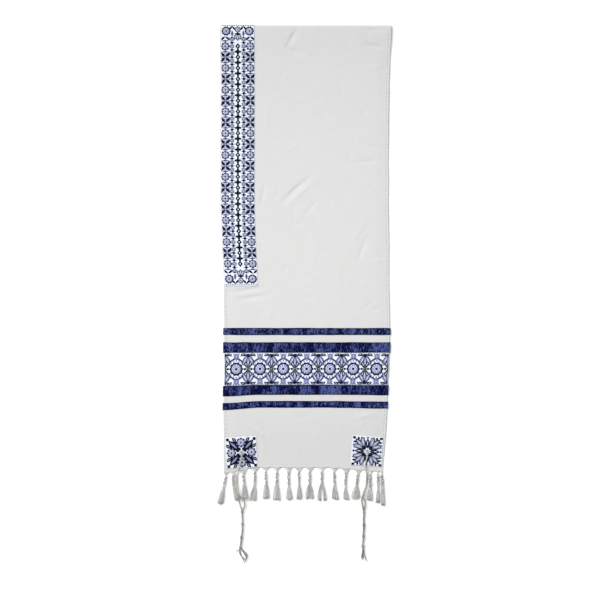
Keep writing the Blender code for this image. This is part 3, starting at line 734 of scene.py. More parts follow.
def stitch_shape(name, corners, squeeze):
    """One shape of satin stitch, a unit long, wide and high: a filled circle, raised, inset and drawn in."""
    bpy.ops.object.select_all(action="DESELECT")
    bpy.ops.mesh.primitive_circle_add(vertices=corners, radius=0.5, fill_type="NGON")
    shape = bpy.context.object
    shape.name = name
    bpy.ops.object.mode_set(mode="EDIT")
    bpy.ops.mesh.select_all(action="SELECT")
    bpy.ops.mesh.extrude_region_move(TRANSFORM_OT_translate={"value": (0, 0, 0.55)})
    bpy.ops.mesh.inset(thickness=0.14)
    bpy.ops.transform.translate(value=(0, 0, 0.33))
    bpy.ops.mesh.inset(thickness=0.14)
    bpy.ops.transform.translate(value=(0, 0, 0.12))
    for reach, ratio in squeeze:
        bpy.ops.mesh.select_all(action="DESELECT")
        bpy.ops.object.mode_set(mode="OBJECT")
        for vert in shape.data.vertices:
            vert.select = reach(vert.co.x)
        bpy.ops.object.mode_set(mode="EDIT")
        bpy.ops.transform.resize(value=(1, ratio, 1), center_override=(0, 0, 0))
    bpy.ops.mesh.select_all(action="SELECT")
    bpy.ops.mesh.normals_make_consistent(inside=False)
    bpy.ops.object.mode_set(mode="OBJECT")
    points = np.array([vert.co[:] for vert in shape.data.vertices])
    faces = [tuple(face.vertices) for face in shape.data.polygons]
    mesh = shape.data
    bpy.data.objects.remove(shape)
    bpy.data.meshes.remove(mesh)
    return points, faces


def stitch_shapes():
    """The shapes that all the stitching is made of, by name. A petal narrows towards its inner end."""
    return {
        "leaf": stitch_shape("leaf", 12, [(lambda x: abs(x) > 0.2, 0.85), (lambda x: abs(x) > 0.4, 0.5)]),
        "petal": stitch_shape("petal", 12, [(lambda x: x < -0.1, 0.6), (lambda x: x < -0.4, 0.4)]),
        "round": stitch_shape("round", 12, []),
        "lozenge": stitch_shape("lozenge", 4, []),
        "bar": stitch_shape("bar", 8, [(lambda x: abs(x) < 0.3, 1.25)]),
    }


def moved(rows, x=0.0, y=0.0, turn=0.0):
    """Stitch rows turned about the middle of their motif, then moved."""
    c, s = cos_sin(turn)
    result = []
    for shape, thread, px, py, angle, *rest in rows:
        result.append((shape, thread, x + px * c - py * s, y + px * s + py * c, angle + turn, *rest))
    return result


def ray(shape, thread, reach, turn, length, width, layer, x=0.0, y=0.0):
    """A stitch row that points out from (x, y), its middle at a reach from there."""
    c, s = cos_sin(turn)
    return (shape, thread, x + reach * c, y + reach * s, turn, length, width, layer)


def blossom(size, thread, petals):
    """A small flower: petals on a dark round, with a pale eye."""
    rows = [("round", "navy", 0, 0, 0, size * 0.86, size * 0.86, 0)]
    for k in range(petals):
        rows.append(ray("petal", thread, size * 0.29, 90 + 360 * k / petals, size * 0.46, size * 0.34, 1))
    rows.append(("round", "white", 0, 0, 0, size * 0.2, size * 0.2, 2))
    return rows


def rosette(size, thread, petals=8):
    """A round flower on a dark scalloped disc: petals over a white disc, round a dark heart."""
    rows = [("round", "navy", 0, 0, 0, size * 0.82, size * 0.82, 0)]
    for k in range(petals):
        rows.append(ray("round", "navy", size * 0.36, 360 * k / petals, size * 0.28, size * 0.28, 0))
    rows.append(("round", "white", 0, 0, 0, size * 0.66, size * 0.66, 1))
    for k in range(petals):
        wide = size * 1.14 / petals
        rows.append(ray("petal", thread, size * 0.23, 360 * k / petals, size * 0.32, wide, 2))
    rows.append(("round", "navy", 0, 0, 0, size * 0.2, size * 0.2, 3))
    return rows


def tulip(length, width, thread):
    """A tulip that points up from its base: three outlined petals over a calyx."""
    rows = []
    for turn, reach in ((118, 0.50), (62, 0.50), (90, 0.56)):
        rows.append(ray("leaf", "navy", reach * length, turn, length * 0.92, width * 0.46, 0))
        if turn != 90:
            rows.append(ray("leaf", thread, reach * length, turn, length * 0.74, width * 0.3, 1))
            rows.append(ray("leaf", "white", reach * length, turn, length * 0.5, width * 0.08, 2))
    rows.append(ray("leaf", "slate", 0.56 * length, 90, length * 0.7, width * 0.26, 2))
    rows.append(ray("leaf", "white", 0.6 * length, 90, length * 0.46, width * 0.07, 3))
    rows.append(("round", "navy", 0, 0.08 * length, 0, width * 0.34, width * 0.34, 2))
    rows.append(ray("leaf", "navy", 0.24 * length, 165, length * 0.4, width * 0.16, 1))
    rows.append(ray("leaf", "navy", 0.24 * length, 15, length * 0.4, width * 0.16, 1))
    return rows


def band_stitches():
    """The band: large rosettes in dark frames of vine, with tulips from both edges between the frames."""
    repeats = 7
    period = (CLOTH_WIDTH - 2 * BAND_INSET) / MM / repeats
    height = BAND_HEIGHT
    middle = height / 2
    swing = 23
    steps = 20
    rows = []
    for k in range(repeats + 1):
        left = BAND_INSET / MM + k * period
        rows += moved(tulip(29, 23, "lavender"), left, 3.5)
        rows += moved(tulip(29, 23, "lavender"), left, height - 3.5, 180)
        rows.append(("lozenge", "ink", left, middle, 0, 8.5, 6.5, 1))
        rows.append(("lozenge", "white", left, middle, 0, 3.4, 2.4, 2))
    for k in range(repeats):
        left = BAND_INSET / MM + k * period
        centre = left + period / 2
        for side in (1, -1):
            for j in range(steps):
                t = (j + 0.5) / steps
                slope = side * swing * math.pi / period * math.cos(math.pi * t)
                y = middle + side * swing * math.sin(math.pi * t)
                length = period / steps * math.hypot(1, slope) * 1.3
                turn = math.degrees(math.atan(slope))
                rows.append(("leaf", "navy", left + t * period, y, turn, length, 4.4, 0))
            outward = 90 * side
            edge = middle + side * 27.5
            rows += moved(blossom(13.5, "lavender", 6), centre, edge + side * 0.8)
            for lean in (-1, 1):
                turn = outward + 62 * lean * side
                x = centre - 8.5 * lean
                rows.append(ray("leaf", "navy", 7.5, turn, 14, 6.4, 0, x, edge + side * 1.0))
                rows.append(ray("leaf", "slate", 7.5, turn, 9, 2.8, 1, x, edge + side * 1.0))
        rows += moved(rosette(31, "lavender", 10), centre, middle)
        for j, turn in enumerate(range(30, 151, 20)):
            for opposite in (0, 180):
                kind = "lavender" if j % 2 else "slate"
                rows.append(ray("petal", kind, 18.4, turn + opposite, 5.2, 3.8, 0, centre, middle))
        for lean in (-1, 1):
            rows.append(("leaf", "navy", centre + 19.4 * lean, middle, 0, 7.4, 5.4, 0))
        for j in range(9):
            x = left + period * (j + 0.5) / 9
            for y in (2.2, height - 2.2):
                rows.append(("bar", "navy" if j % 2 else "slate", x, y, 0, 4.0, 1.7, 0))
    inside = BAND_INSET / MM - 0.1
    return [row for row in rows if inside < row[2] < CLOTH_WIDTH / MM - inside]


def atara_repeat(repeat):
    """One repeat of the atara: rosettes and crossed leaves, rows of small flowers, and a middle column."""
    half, third, quarter = repeat / 2, repeat / 3, repeat / 4
    rows = []
    for y in (0, half):
        rows.append(("lozenge", "ink", 0, y, 90, 14.2, 11.6, 0))
        rows.append(("lozenge", "white", 0, y, 90, 4.6, 3.6, 1))
        for turn in (0, 90, 180, 270):
            rows.append(ray("leaf", "ink", 3.9, turn, 8.6, 5.4, 0, 0, y + quarter))
    for side in (1, -1):
        inner, outer = ATARA_INNER * side, ATARA_OUTER * side
        for y in (-third, 0, third):
            rows += moved(blossom(11.4, "slate", 6), inner, y)
            rows.append(("lozenge", "ink", inner, y + third / 2, 90, 8.2, 7.6, 1))
            rows.append(("bar", "slate", inner, y + third / 2, 0, 13.5, 2.8, 0))
        rows += moved(rosette(20, "violet", 8), outer, 0)
        for turn in (45, 135, 225, 315):
            rows.append(ray("leaf", "ink", 8.6, turn, 18.0, 6.6, 0, outer, half))
        for y in (-quarter, quarter):
            rows.append(("leaf", "slate", outer, y, 0, 17.5, 4.2, 0))
            rows.append(("leaf", "navy", outer, y, 0, 11, 1.9, 1))
        for turn in (0, 90, 180, 270):
            rows.append(ray("leaf", "violet", 6.4, turn, 12.5, 5.8, 0, outer, half))
            rows.append(ray("leaf", "white", 6.8, turn, 8.2, 1.7, 1, outer, half))
        rows.append(("round", "slate", outer, half, 0, 4.6, 4.6, 2))
    return rows


def atara_end():
    """The motif at each end of the atara, above its edge: rosettes and leaves over a line of bars."""
    rows = moved(rosette(14, "slate", 8), 0, 12.5)
    rows += moved(tulip(17, 19, "slate"), 0, 21)
    for side in (1, -1):
        for turn in (90 + 52, 90 - 52):
            rows.append(ray("leaf", "ink", 7.4, turn, 14.5, 5.0, 0, ATARA_OUTER * side, 28))
        rows += moved(rosette(21, "violet", 10), 26 * side, 16)
        for lean in (-1, 1):
            rows.append(ray("leaf", "ink", 6.0, 90 + 40 * lean, 12.0, 4.6, 0, 12.6 * side, 5.2))
        rows.append(("leaf", "slate", 12.6 * side, 21.5, 90, 15, 6.4, 0))
        rows.append(("leaf", "navy", 12.6 * side, 21.5, 90, 10, 2.4, 1))
    for k in range(14):
        rows.append(("bar", "navy", -33.8 + 5.2 * k, 4.0, 0, 4.0, 1.7, 0))
    return rows


def atara_stitches():
    """The atara: an end motif, repeats up to its middle, and all of that mirrored up to the fold."""
    length = (ATARA_END - ATARA_START) / MM
    middle = length / 2
    end_top = 31
    first = 50
    repeats = 5
    repeat = (middle - first) / repeats
    rows = []
    for k in range(repeats + 1):
        rows += moved(atara_repeat(repeat), 0, first + repeat * k)
    centre = [row for row in rows if abs(row[3] - middle) < 0.1]
    lower = atara_end() + [row for row in rows if end_top < row[3] < middle - 0.1]
    upper = [(shape, thread, x, length - y, -turn, *rest) for shape, thread, x, y, turn, *rest in lower]
    return lower + centre + upper


def star_patch():
    """The left patch: four rosettes round the eyelet, with dark leaves between them out to the corners."""
    rows = []
    for k, (x, y) in enumerate(((0, 22.6), (-22.6, 0), (0, -22.6), (22.6, 0))):
        rows += moved(rosette(22, "lavender", 8), x, y)
        turn = 45 + 90 * k
        rows.append(ray("leaf", "ink", 22.5, turn, 35, 14.5, 0))
        rows.append(ray("leaf", "lavender", 23.5, turn, 22, 5.0, 1))
        for lean in (-18, 18):
            rows.append(ray("leaf", "ink", 33.0, turn + lean, 20, 8.0, 0))
            rows.append(ray("leaf", "slate", 33.0, turn + lean, 11, 2.6, 1))
        rows.append(ray("lozenge", "ink", 42.5, turn, 9.0, 9.0, 0))
        for lean in (-22.5, 22.5):
            rows.append(ray("leaf", "navy", 9.4, turn + lean, 8.4, 4.6, 0))
    return [row for row in rows if abs(row[2]) < 34 and abs(row[3]) < 34]


def tulip_patch():
    """The right patch: a dark cross of leaves on the eyelet, with grey tulips out to the corners."""
    rows = []
    for k in range(4):
        rows += moved(moved(tulip(31, 26, "slate"), 0, 8.0), 0, 0, 45 + 90 * k)
        turn = 90 * k
        rows.append(ray("leaf", "ink", 17.5, turn, 24, 9.0, 0))
        rows.append(ray("leaf", "white", 17.5, turn, 14, 2.2, 1))
        rows.append(ray("lozenge", "ink", 43.5, 45 + turn, 10.0, 10.0, 0))
        for dx in (-20.5, -8.4, 8.4, 20.5):
            kind = "ink" if abs(dx) > 10 else "slate"
            rows += moved([("leaf", kind, dx, 28.0, 90, 10.5, 4.8, 0)], 0, 0, 90 * k)
        rows += moved([("lozenge", "navy", 0, 30.8, 0, 7.0, 5.4, 0)], 0, 0, 90 * k)
    return [row for row in rows if abs(row[2]) < 34 and abs(row[3]) < 32.5]


def trimmed(values, low, high):
    """Places drawn in to stay between two limits, as embroidery is cut off at the edges of its ground."""
    values = np.where(values > high - TRIM, high - TRIM * np.exp((high - TRIM - values) / TRIM), values)
    return np.where(values < low + TRIM, low + TRIM * np.exp((values - low - TRIM) / TRIM), values)


def laid_shape(shape, x, y, turn, length, width, height):
    """A stitch shape turned and moved to its place: its points, faces and corner UVs, in millimetres."""
    unit, faces = shape
    local = unit[:, :2] * (length, width)
    c, s = cos_sin(turn)
    px = x + local[:, 0] * c - local[:, 1] * s
    py = y + local[:, 0] * s + local[:, 1] * c
    corners = [corner for face in faces for corner in face]
    return np.stack([px, py, height], axis=1), faces, local[corners]


def join_parts(parts):
    points, faces, uv = [], [], []
    count = 0
    for part_points, part_faces, part_uv in parts:
        points.append(part_points)
        faces += [[corner + count for corner in face] for face in part_faces]
        uv.append(part_uv)
        count += len(part_points)
    return np.concatenate(points), faces, np.concatenate(uv)


def draped(name, parts, where, lift, material, replaces=(), puckered=True, extent=None):
    """A piece of stitches that are laid out flat in millimetres, then draped at a lift over the cloth.

    The extent gives the least and most x, then the least and most y, in millimetres.
    """
    points, faces, uv = join_parts(parts)
    x, y, height = points.T
    if extent:
        x, y = trimmed(x, *extent[:2]), trimmed(y, *extent[2:])
    across, along = where(x * MM, y * MM)
    height = height * MM + lift
    if puckered:
        height = height + pucker(across, along)
    return new_piece(name, over_cloth(across, along, height), faces, uv * MM, material, replaces)


def embroider(name, rows, shapes, where, wall, threads, extent):
    """Drapes the stitch rows over a ground, as one piece for each colour of thread."""
    pieces = []
    for thread, material in threads.items():
        parts = []
        for shape, row_thread, x, y, turn, length, width, layer in rows:
            if row_thread == thread:
                base = LAYER_BASE[layer] + OVERLAP * (len(parts) % 9)
                height = base + shapes[shape][0][:, 2] * LAYER_HEIGHT[layer]
                parts.append(laid_shape(shapes[shape], x, y, turn, length, width, height))
        if parts:
            lift = SEAM + wall - GROUND_WALL
            piece = f"{name}_{thread}_thread"
            pieces.append(draped(piece, parts, where, lift, material, extent=extent))
    return pieces


def sewing(name, runs, shapes, where, lift, material, size=(2.5, 0.42), gap=0.9, puckered=True):
    """Lines of machine stitches. A run is (x, y) to (x, y) in the ground's own millimetres."""
    bar = shapes["bar"]
    parts = []
    for x0, y0, x1, y1 in runs:
        steps = max(1, int(math.hypot(x1 - x0, y1 - y0) / (size[0] + gap)))
        turn = math.degrees(math.atan2(y1 - y0, x1 - x0))
        for k in range(steps):
            share = (k + 0.5) / steps
            x, y = x0 + (x1 - x0) * share, y0 + (y1 - y0) * share
            parts.append(laid_shape(bar, x, y, turn, *size, bar[0][:, 2] * SEWING_HEIGHT))
    return draped(name, parts, where, lift, material, puckered=puckered)


def frames_along(paths):
    """Headings and two directions square to them at each point, turned the least from one to the next."""
    ahead = np.gradient(paths, axis=1)
    ahead /= np.linalg.norm(ahead, axis=2, keepdims=True)
    side = np.empty_like(paths)
    start = np.where(np.abs(ahead[:, 0, :1]) < 0.9, np.array([[1.0, 0, 0]]), np.array([[0, 1.0, 0]]))
    current = start
    for k in range(paths.shape[1]):
        current = current - ahead[:, k] * np.sum(current * ahead[:, k], axis=1, keepdims=True)
        current = current / np.linalg.norm(current, axis=1, keepdims=True)
        side[:, k] = current
    return ahead, side, np.cross(side, ahead)


def lengths_along(paths):
    steps = np.linalg.norm(np.diff(paths, axis=1), axis=2)
    return np.concatenate([np.zeros((len(paths), 1)), np.cumsum(steps, axis=1)], axis=1)


def tubes(paths, radii, sides, lobes=0, lobe=0.0, pitch=1.0):
    """Closed tubes along paths (tube, point, xyz), as points, faces and corner UVs: u round it, v its length.

    With lobes the outline is that of as many plies, which turn once in each pitch.
    """
    paths = np.asarray(paths, float)
    count, rings = paths.shape[:2]
    _, side, up = frames_along(paths)
    far = lengths_along(paths)
    angle = 2 * math.pi * np.arange(sides) / sides
    swell = 1 + lobe * np.cos(lobes * (angle[None, None, :] - 2 * math.pi * far[:, :, None] / pitch))
    reach = (np.broadcast_to(radii, (count, rings))[:, :, None] * swell)[..., None]
    spread = side[:, :, None] * np.cos(angle)[:, None] + up[:, :, None] * np.sin(angle)[:, None]
    points = (paths[:, :, None] + spread * reach).reshape(-1, 3)

    tube, ring, k = np.meshgrid(np.arange(count), np.arange(rings - 1), np.arange(sides), indexing="ij")
    base = (tube * rings + ring) * sides
    n = (k + 1) % sides
    quads = np.stack([base + k, base + sides + k, base + sides + n, base + n], axis=-1).reshape(-1, 4)
    low, high = far[tube, ring], far[tube, ring + 1]
    u, v = k / sides, (k + 1) / sides
    uv = np.stack([u, low, u, high, v, high, v, low], axis=-1).reshape(-1, 2)
    faces = quads.tolist()
    caps = []
    for one in range(count):
        first = one * rings * sides
        last = first + (rings - 1) * sides
        faces.append([first + j for j in range(sides)])
        faces.append([last + j for j in reversed(range(sides))])
        for at in (far[one, 0], far[one, -1]):
            caps += [(j / sides, at) for j in range(sides)]
    return points, faces, np.concatenate([uv, np.array(caps)])


def shade_points(piece, shades):
    """Darkens the yarn at each point by a share: its own uneven tone, darker tips and stretches, and in the
    tassels painted shade.
    """
    attribute = piece.data.attributes.new("shade", "FLOAT", "POINT")
    attribute.data.foreach_set("value", np.asarray(shades, np.float32).ravel())


def smooth_path(stops, step):
    """Points a step apart on the smooth curve through the stops."""
    stops = np.asarray(stops, float)
    before = np.vstack([2 * stops[0] - stops[1], stops, 2 * stops[-1] - stops[-2]])
    result = []
    for i in range(len(stops) - 1):
        p0, p1, p2, p3 = before[i : i + 4]
        count = max(2, int(np.linalg.norm(p2 - p1) / step * 2))
        t = np.arange(count)[:, None] / count
        result.append(
            0.5 * ((-(t**3) + 2 * t**2 - t) * p0 + (3 * t**3 - 5 * t**2 + 2) * p1
                   + (-3 * t**3 + 4 * t**2 + t) * p2 + (t**3 - t**2) * p3)
        )
    dense = np.vstack(result + [stops[-1:]])
    far = np.concatenate([[0], np.cumsum(np.linalg.norm(np.diff(dense, axis=0), axis=1))])
    wanted = np.linspace(0, far[-1], max(2, round(far[-1] / step) + 1))
    return np.stack([np.interp(wanted, far, dense[:, axis]) for axis in range(3)], axis=1)


def tassel_ends(root_x, hem_share, rng):
    """Where a tassel's warp ends leave the hem, and the hem's y at its root."""
    near = min(abs(root_x - other[0]) for other in TASSELS if other[0] != root_x)
    reach = min(near / 2 - 0.5, 11.5) * MM
    root_across, _ = place_on_upper(np.array([root_x * MM]), np.array([HEM_Y]))
    ends = cloth_middle(root_across + hem_share * reach, np.full(YARNS, 0.8 * MM))
    ends[:, 2] += rng.uniform(-0.25, 0.25, YARNS) * MM
    return ends, cloth_middle(root_across, np.zeros(1))[0][1]


def tassel_neck(number, top, end, ply, order):
    """The yarns' points in the neck, packed in two plies that twist round each other.

    With them come their offsets sideways and upwards, and how far the neck swells, at each step along it.
    """
    spot_radius = PLY_FILL * np.sqrt((order + 0.5) / (YARNS // 2))
    spot_angle = order * GOLDEN_ANGLE
    far = np.linspace(0, 1, NECK_STEPS)
    length = np.linalg.norm(end - top)
    phase = 2 * math.pi * far * length / NECK_PITCH + number * 1.3
    around = phase[None, :] + ply[:, None] * math.pi
    inner = around + spot_angle[:, None]
    # Where the two plies were pulled less tight, the neck swells and leans a little.
    bead = np.sin(2 * math.pi * far * length / BEAD_PITCH + number * 2.1)
    swell = 1 + 0.22 * bead * (1 - far**4)
    offset_x = (PLY_RADIUS * np.cos(around) + spot_radius[:, None] * np.cos(inner)) * swell
    offset_z = (PLY_RADIUS * np.sin(around) + spot_radius[:, None] * np.sin(inner)) * swell
    centre = top[None, :] + far[:, None] * (end - top)[None, :]
    neck = np.repeat(centre[None], YARNS, axis=0)
    neck[:, :, 0] += offset_x + 0.5 * MM * np.sin(2 * math.pi * far * 1.5 + number) * far * (1 - far) * 4
    neck[:, :, 2] = np.maximum(neck[:, :, 2] + offset_z, 0.35 * MM)
    return neck, offset_x, offset_z, bead


def tassel_skirt(number, row, neck_end, hem_share, offset_x, offset_z, rng):
    """The yarns' points in the loose skirt, which opens from the neck's end, and the locks they fall in."""
    _, _, tip_x, tip_y, spread, _, parting = row
    tip = np.array([tip_x * MM, tip_y * MM, NECK_LIE])
    share = rng.permutation(np.linspace(-1, 1, YARNS)) * 0.55 + hem_share * 0.45
    share = np.clip(share * 1.15, -1, 1)
    level = rng.uniform(0.55, 4.6, YARNS) * MM
    end_x = share * spread * MM + np.sign(share) * parting * MM
    lock = uneven(share * 3.2, share * 0 + number, 12)
    uneven_end = (rng.normal(0, 1.3, YARNS) + 1.6 * lock) * MM
    waves = rng.uniform(0, 2 * math.pi, YARNS)
    curl = rng.uniform(0.15, 0.6, YARNS) * MM
    skirt = np.empty((YARNS, len(SKIRT_STEPS), 3))
    for j, t in enumerate(SKIRT_STEPS):
        centre_line = neck_end + (tip - neck_end) * t
        open_up = 1 - (1 - t) ** 1.9
        skirt[:, j, 0] = centre_line[0] + offset_x[:, -1] * (1 - open_up) + end_x * open_up
        skirt[:, j, 0] += curl * np.sin(waves + 5.5 * t) * t
        skirt[:, j, 1] = centre_line[1] + uneven_end * t
        skirt[:, j, 2] = NECK_LIE + offset_z[:, -1] * (1 - open_up) + (level - NECK_LIE) * open_up
    return skirt, lock


def tassel(number, row, material):
    """Warp ends gathered from the hem, twisted in a neck of two plies, then spread loose in a flat skirt."""
    root_x, neck_x, _, _, _, neck_length, _ = row
    rng = np.random.default_rng(100 + number)
    half = YARNS // 2
    k = np.arange(YARNS)
    ply, order = k % 2, k // 2
    hem_share = np.where(ply == 0, -1 + (order + 0.5) / half, (order + 0.5) / half)
    start, hem_y = tassel_ends(root_x, hem_share, rng)
    neck_top = np.array([root_x * MM + (neck_x - root_x) * MM * 0.15, hem_y - NECK_START, NECK_LIE])
    neck_end = np.array([neck_x * MM, hem_y - neck_length * MM, NECK_LIE])
    neck, offset_x, offset_z, bead = tassel_neck(number, neck_top, neck_end, ply, order)
    # The ends are drawn in towards the neck sooner sideways than downwards or in height.
    shares = np.stack([smooth(DRAWN_STEPS * 1.15), DRAWN_STEPS, DRAWN_STEPS**1.5], axis=-1)
    drawn = start[:, None, :] + (neck[:, :1, :] - start[:, None, :]) * shares
    skirt, lock = tassel_skirt(number, row, neck_end, hem_share, offset_x, offset_z, rng)

    paths = np.concatenate([drawn, neck, skirt], axis=1)
    radii = np.full(paths.shape[1], YARN_RADIUS)
    radii[-1] *= 0.7
    points, faces, uv = tubes(paths, radii, 3)
    node = f"tassel_{number:02d}"
    piece = new_piece(node + "_yarns", points, faces, uv, material, [node])
    # Each yarn's own tone, with painted shade on the second ply.
    shades = np.repeat((rng.uniform(0, 0.25, YARNS) + 0.3 * ply)[:, None], paths.shape[1], axis=1)
    # The neck darker with painted shade between its twisted plies, most at its narrow places.
    shades[:, len(DRAWN_STEPS) : len(DRAWN_STEPS) + NECK_STEPS] += 0.3 - 0.3 * bead
    # In the skirt each lock has its own tone, and most of the second ply's painted shade is taken off.
    shades[:, -len(SKIRT_STEPS) :] += (0.22 * lock - 0.2 * ply)[:, None]
    # The tips darker, more so in some locks.
    shades[:, -1] += np.where(lock > 0, 1.2, 0.5)
    shade_points(piece, np.repeat(shades[:, :, None], 3, axis=2))
    return piece


# The cords in millimetres: the way out of the eyelet, from its middle, with z from the floor, and then x, y
# and z along each route. Each loose end has two places on the way and a tip, each x and y.
EYELET_ROUTE = [(0, 0, 0.9), (0, 0, 3.4), (0, -0.9, 6.2), (0, -3.6, 8.0), (0, -7.6, 7.9), (0, -13.0, 6.0)]
CORDS = {
    "left": {
        "front": [
            (-148.6, -487, 5.0), (-152.6, -499, 3.8), (-154.2, -514, 2.6), (-154.2, -528, 3.6),
            (-152.6, -544, 7.4), (-147.6, -557, 8.2), (-138.6, -568, 7.8), (-137.6, -579, 4.6),
            (-142.4, -588, 3.4),
        ],
        "back": [
            (-158.2, -507.6, 1.95), (-157.6, -516, 2.4), (-156.6, -530, 4.4), (-154.4, -543, 7.8),
            (-150.2, -556, 9.2), (-149.8, -567, 7.8), (-147.2, -580, 4.6), (-143.6, -590, 3.4),
        ],
        "wound": [
            (-143.2, -590, 3.3), (-142.4, -617, 3.3), (-142.3, -625, 3.3), (-144.4, -645, 3.3),
            (-147.0, -668, 3.3), (-146.9, -675, 3.3),
        ],
        "knots": [-592, -621, -649, -672],
        "ends": [
            (-139.5, -680.5, -132.2, -688.0, -134.0, -699.0),
            (-140.4, -681.5, -133.6, -689.5, -135.4, -702.0),
            (-138.6, -682.5, -134.4, -692.0, -133.2, -696.0),
            (-141.2, -683.0, -135.2, -693.0, -137.2, -704.0),
            (-149.8, -680.0, -148.0, -689.0, -137.6, -698.5),
            (-148.6, -681.0, -146.0, -691.5, -137.0, -701.0),
            (-147.4, -682.0, -144.2, -692.5, -139.2, -706.0),
            (-150.2, -677.0, -153.4, -679.2, -156.2, -680.5),
        ],
    },
    "right": {
        "front": [
            (133.4, -484, 5.2), (134.0, -496, 4.8), (135.2, -508, 5.2), (135.2, -522, 6.0),
            (134.6, -534, 6.2), (131.4, -547, 7.0), (127.8, -559, 8.0), (132.2, -567, 7.2),
            (132.6, -577, 4.8), (130.2, -589, 3.4),
        ],
        "back": [
            (138.6, -504.0, 1.95), (138.4, -513, 2.1), (136.8, -527, 2.1), (131.6, -541, 2.4),
            (127.6, -554, 3.6), (125.2, -567, 4.2), (126.8, -579, 3.8), (129.6, -591, 3.4),
        ],
        "wound": [
            (129.8, -591, 3.3), (129.6, -617, 3.3), (129.0, -643, 3.3), (127.8, -666, 3.3),
            (127.6, -673, 3.3),
        ],
        "knots": [-593, -621, -647, -670],
        "ends": [
            (127.0, -682.0, 126.4, -689.0, 125.2, -696.0),
            (127.6, -682.0, 127.2, -690.0, 126.4, -699.0),
            (130.4, -681.0, 132.0, -690.0, 136.0, -702.0),
            (126.4, -681.0, 125.6, -687.0, 124.2, -693.0),
            (127.2, -682.0, 126.6, -689.0, 126.0, -694.5),
            (128.2, -683.0, 127.8, -690.0, 127.6, -697.0),
            (128.4, -682.0, 128.2, -689.0, 128.8, -694.0),
            (129.8, -681.0, 131.2, -691.0, 134.6, -700.5),
        ],
    },
}
# The wraps of each knot: where the turn starts, its tilt, its place along the cord, and its reach.
KNOT_WRAPS = ((0.0, 0.9, -1.1, 2.2), (2.1, -0.8, 0.1, 2.6), (4.2, 0.7, 1.2, 2.2))
STRAND_RADIUS = 0.72
STRAND_PITCH = 5.2
BUNDLE_RADIUS = 0.78
BUNDLE_PITCH = 70
CORE_RADIUS = 1.0
WINDING_RADIUS = 0.62
WINDING_PITCH = 1.3


def strand(path, radius=STRAND_RADIUS, sides=8):
    """One plied strand along a path in millimetres."""
    return tubes(np.asarray(path)[None] * MM, radius * MM, sides, 2, 0.16, STRAND_PITCH * MM)


def bundle(stops, count, start_turn=0.0):
    """Strands side by side along a route, in a slow twist."""
    path = smooth_path(stops, 0.8)
    _, side, up = (part[0] for part in frames_along(path[None]))
    far = lengths_along(path[None])[0]
    parts = []
    for k in range(count):
        turn = (2 * math.pi * (far / BUNDLE_PITCH + k / count) + start_turn)[:, None]
        parts.append(strand(path + (side * np.cos(turn) + up * np.sin(turn)) * BUNDLE_RADIUS, sides=7))
    return parts


def round_core(core, at, angle, reach):
    """Points round the wound core, at millimetres along it."""
    _, sideways, up = (part[0] for part in frames_along(core[None]))
    far = lengths_along(core[None])[0]
    middle, out, over = (
        np.stack([np.interp(at, far, line[:, axis]) for axis in range(3)], axis=1)
        for line in (core, sideways, up)
    )
    return middle + (out * np.cos(angle)[:, None] + over * np.sin(angle)[:, None]) * reach


def wound_part(core, knots):
    """The wound length: a core, a strand wound closely round it, and the wraps of each knot."""
    far = lengths_along(core[None])[0]
    parts = [tubes(core[None] * MM, CORE_RADIUS * MM, 8)]
    at = np.linspace(1.0, far[-1] - 1.0, int((far[-1] - 2) / WINDING_PITCH * 14))
    uneven_reach = CORE_RADIUS + WINDING_RADIUS * 0.6 + 0.06 * np.sin(at * 1.7)
    wound = round_core(core, at, 2 * math.pi * at / WINDING_PITCH, uneven_reach[:, None])
    parts.append(strand(wound, WINDING_RADIUS, 6))
    angle = np.linspace(0, 2 * math.pi, 25)
    for knot_y in knots:
        place = float(np.interp(-knot_y, -core[:, 1], far))
        for turn, tilt, shift, reach in KNOT_WRAPS:
            where = place + shift + tilt * np.sin(angle + turn)
            parts.append(strand(round_core(core, np.clip(where, 0, far[-1]), angle, reach), 0.85, 7))
    return parts


def frayed_tip(path, rng):
    """The fine fibres that a strand's cut end opens into."""
    ahead = path[-1] - path[-4]
    ahead = ahead / np.linalg.norm(ahead)
    parts = []
    for _ in range(4):
        lean = np.array([rng.uniform(-0.6, 0.6), 0, rng.uniform(-0.15, 0.15)])
        tip = path[-1] + (ahead + lean) * rng.uniform(1.4, 2.8)
        tip[2] = max(tip[2], 0.3)
        middle = path[-1] + ahead * 0.8 + lean * 0.4
        fine = smooth_path([path[-2], path[-1] + lean * 0.25, middle, tip], 0.6)
        parts.append(tubes(fine[None] * MM, 0.17 * MM, 3))
    return parts


def loose_ends(last, rows, rng):
    """The eight strands below the last knot: the first four lie over the others."""
    parts = []
    for k, row in enumerate(rows):
        level = 3.2 if k < 4 else 0.95
        angle = 2 * math.pi * k / 8
        start = last + np.array([math.cos(angle), 2.5, math.sin(angle)])
        path = smooth_path([start, *((row[i], row[i + 1], level) for i in (0, 2, 4))], 0.8)
        parts.append(strand(path, 0.66, 6))
        parts += frayed_tip(path, rng)
    return parts


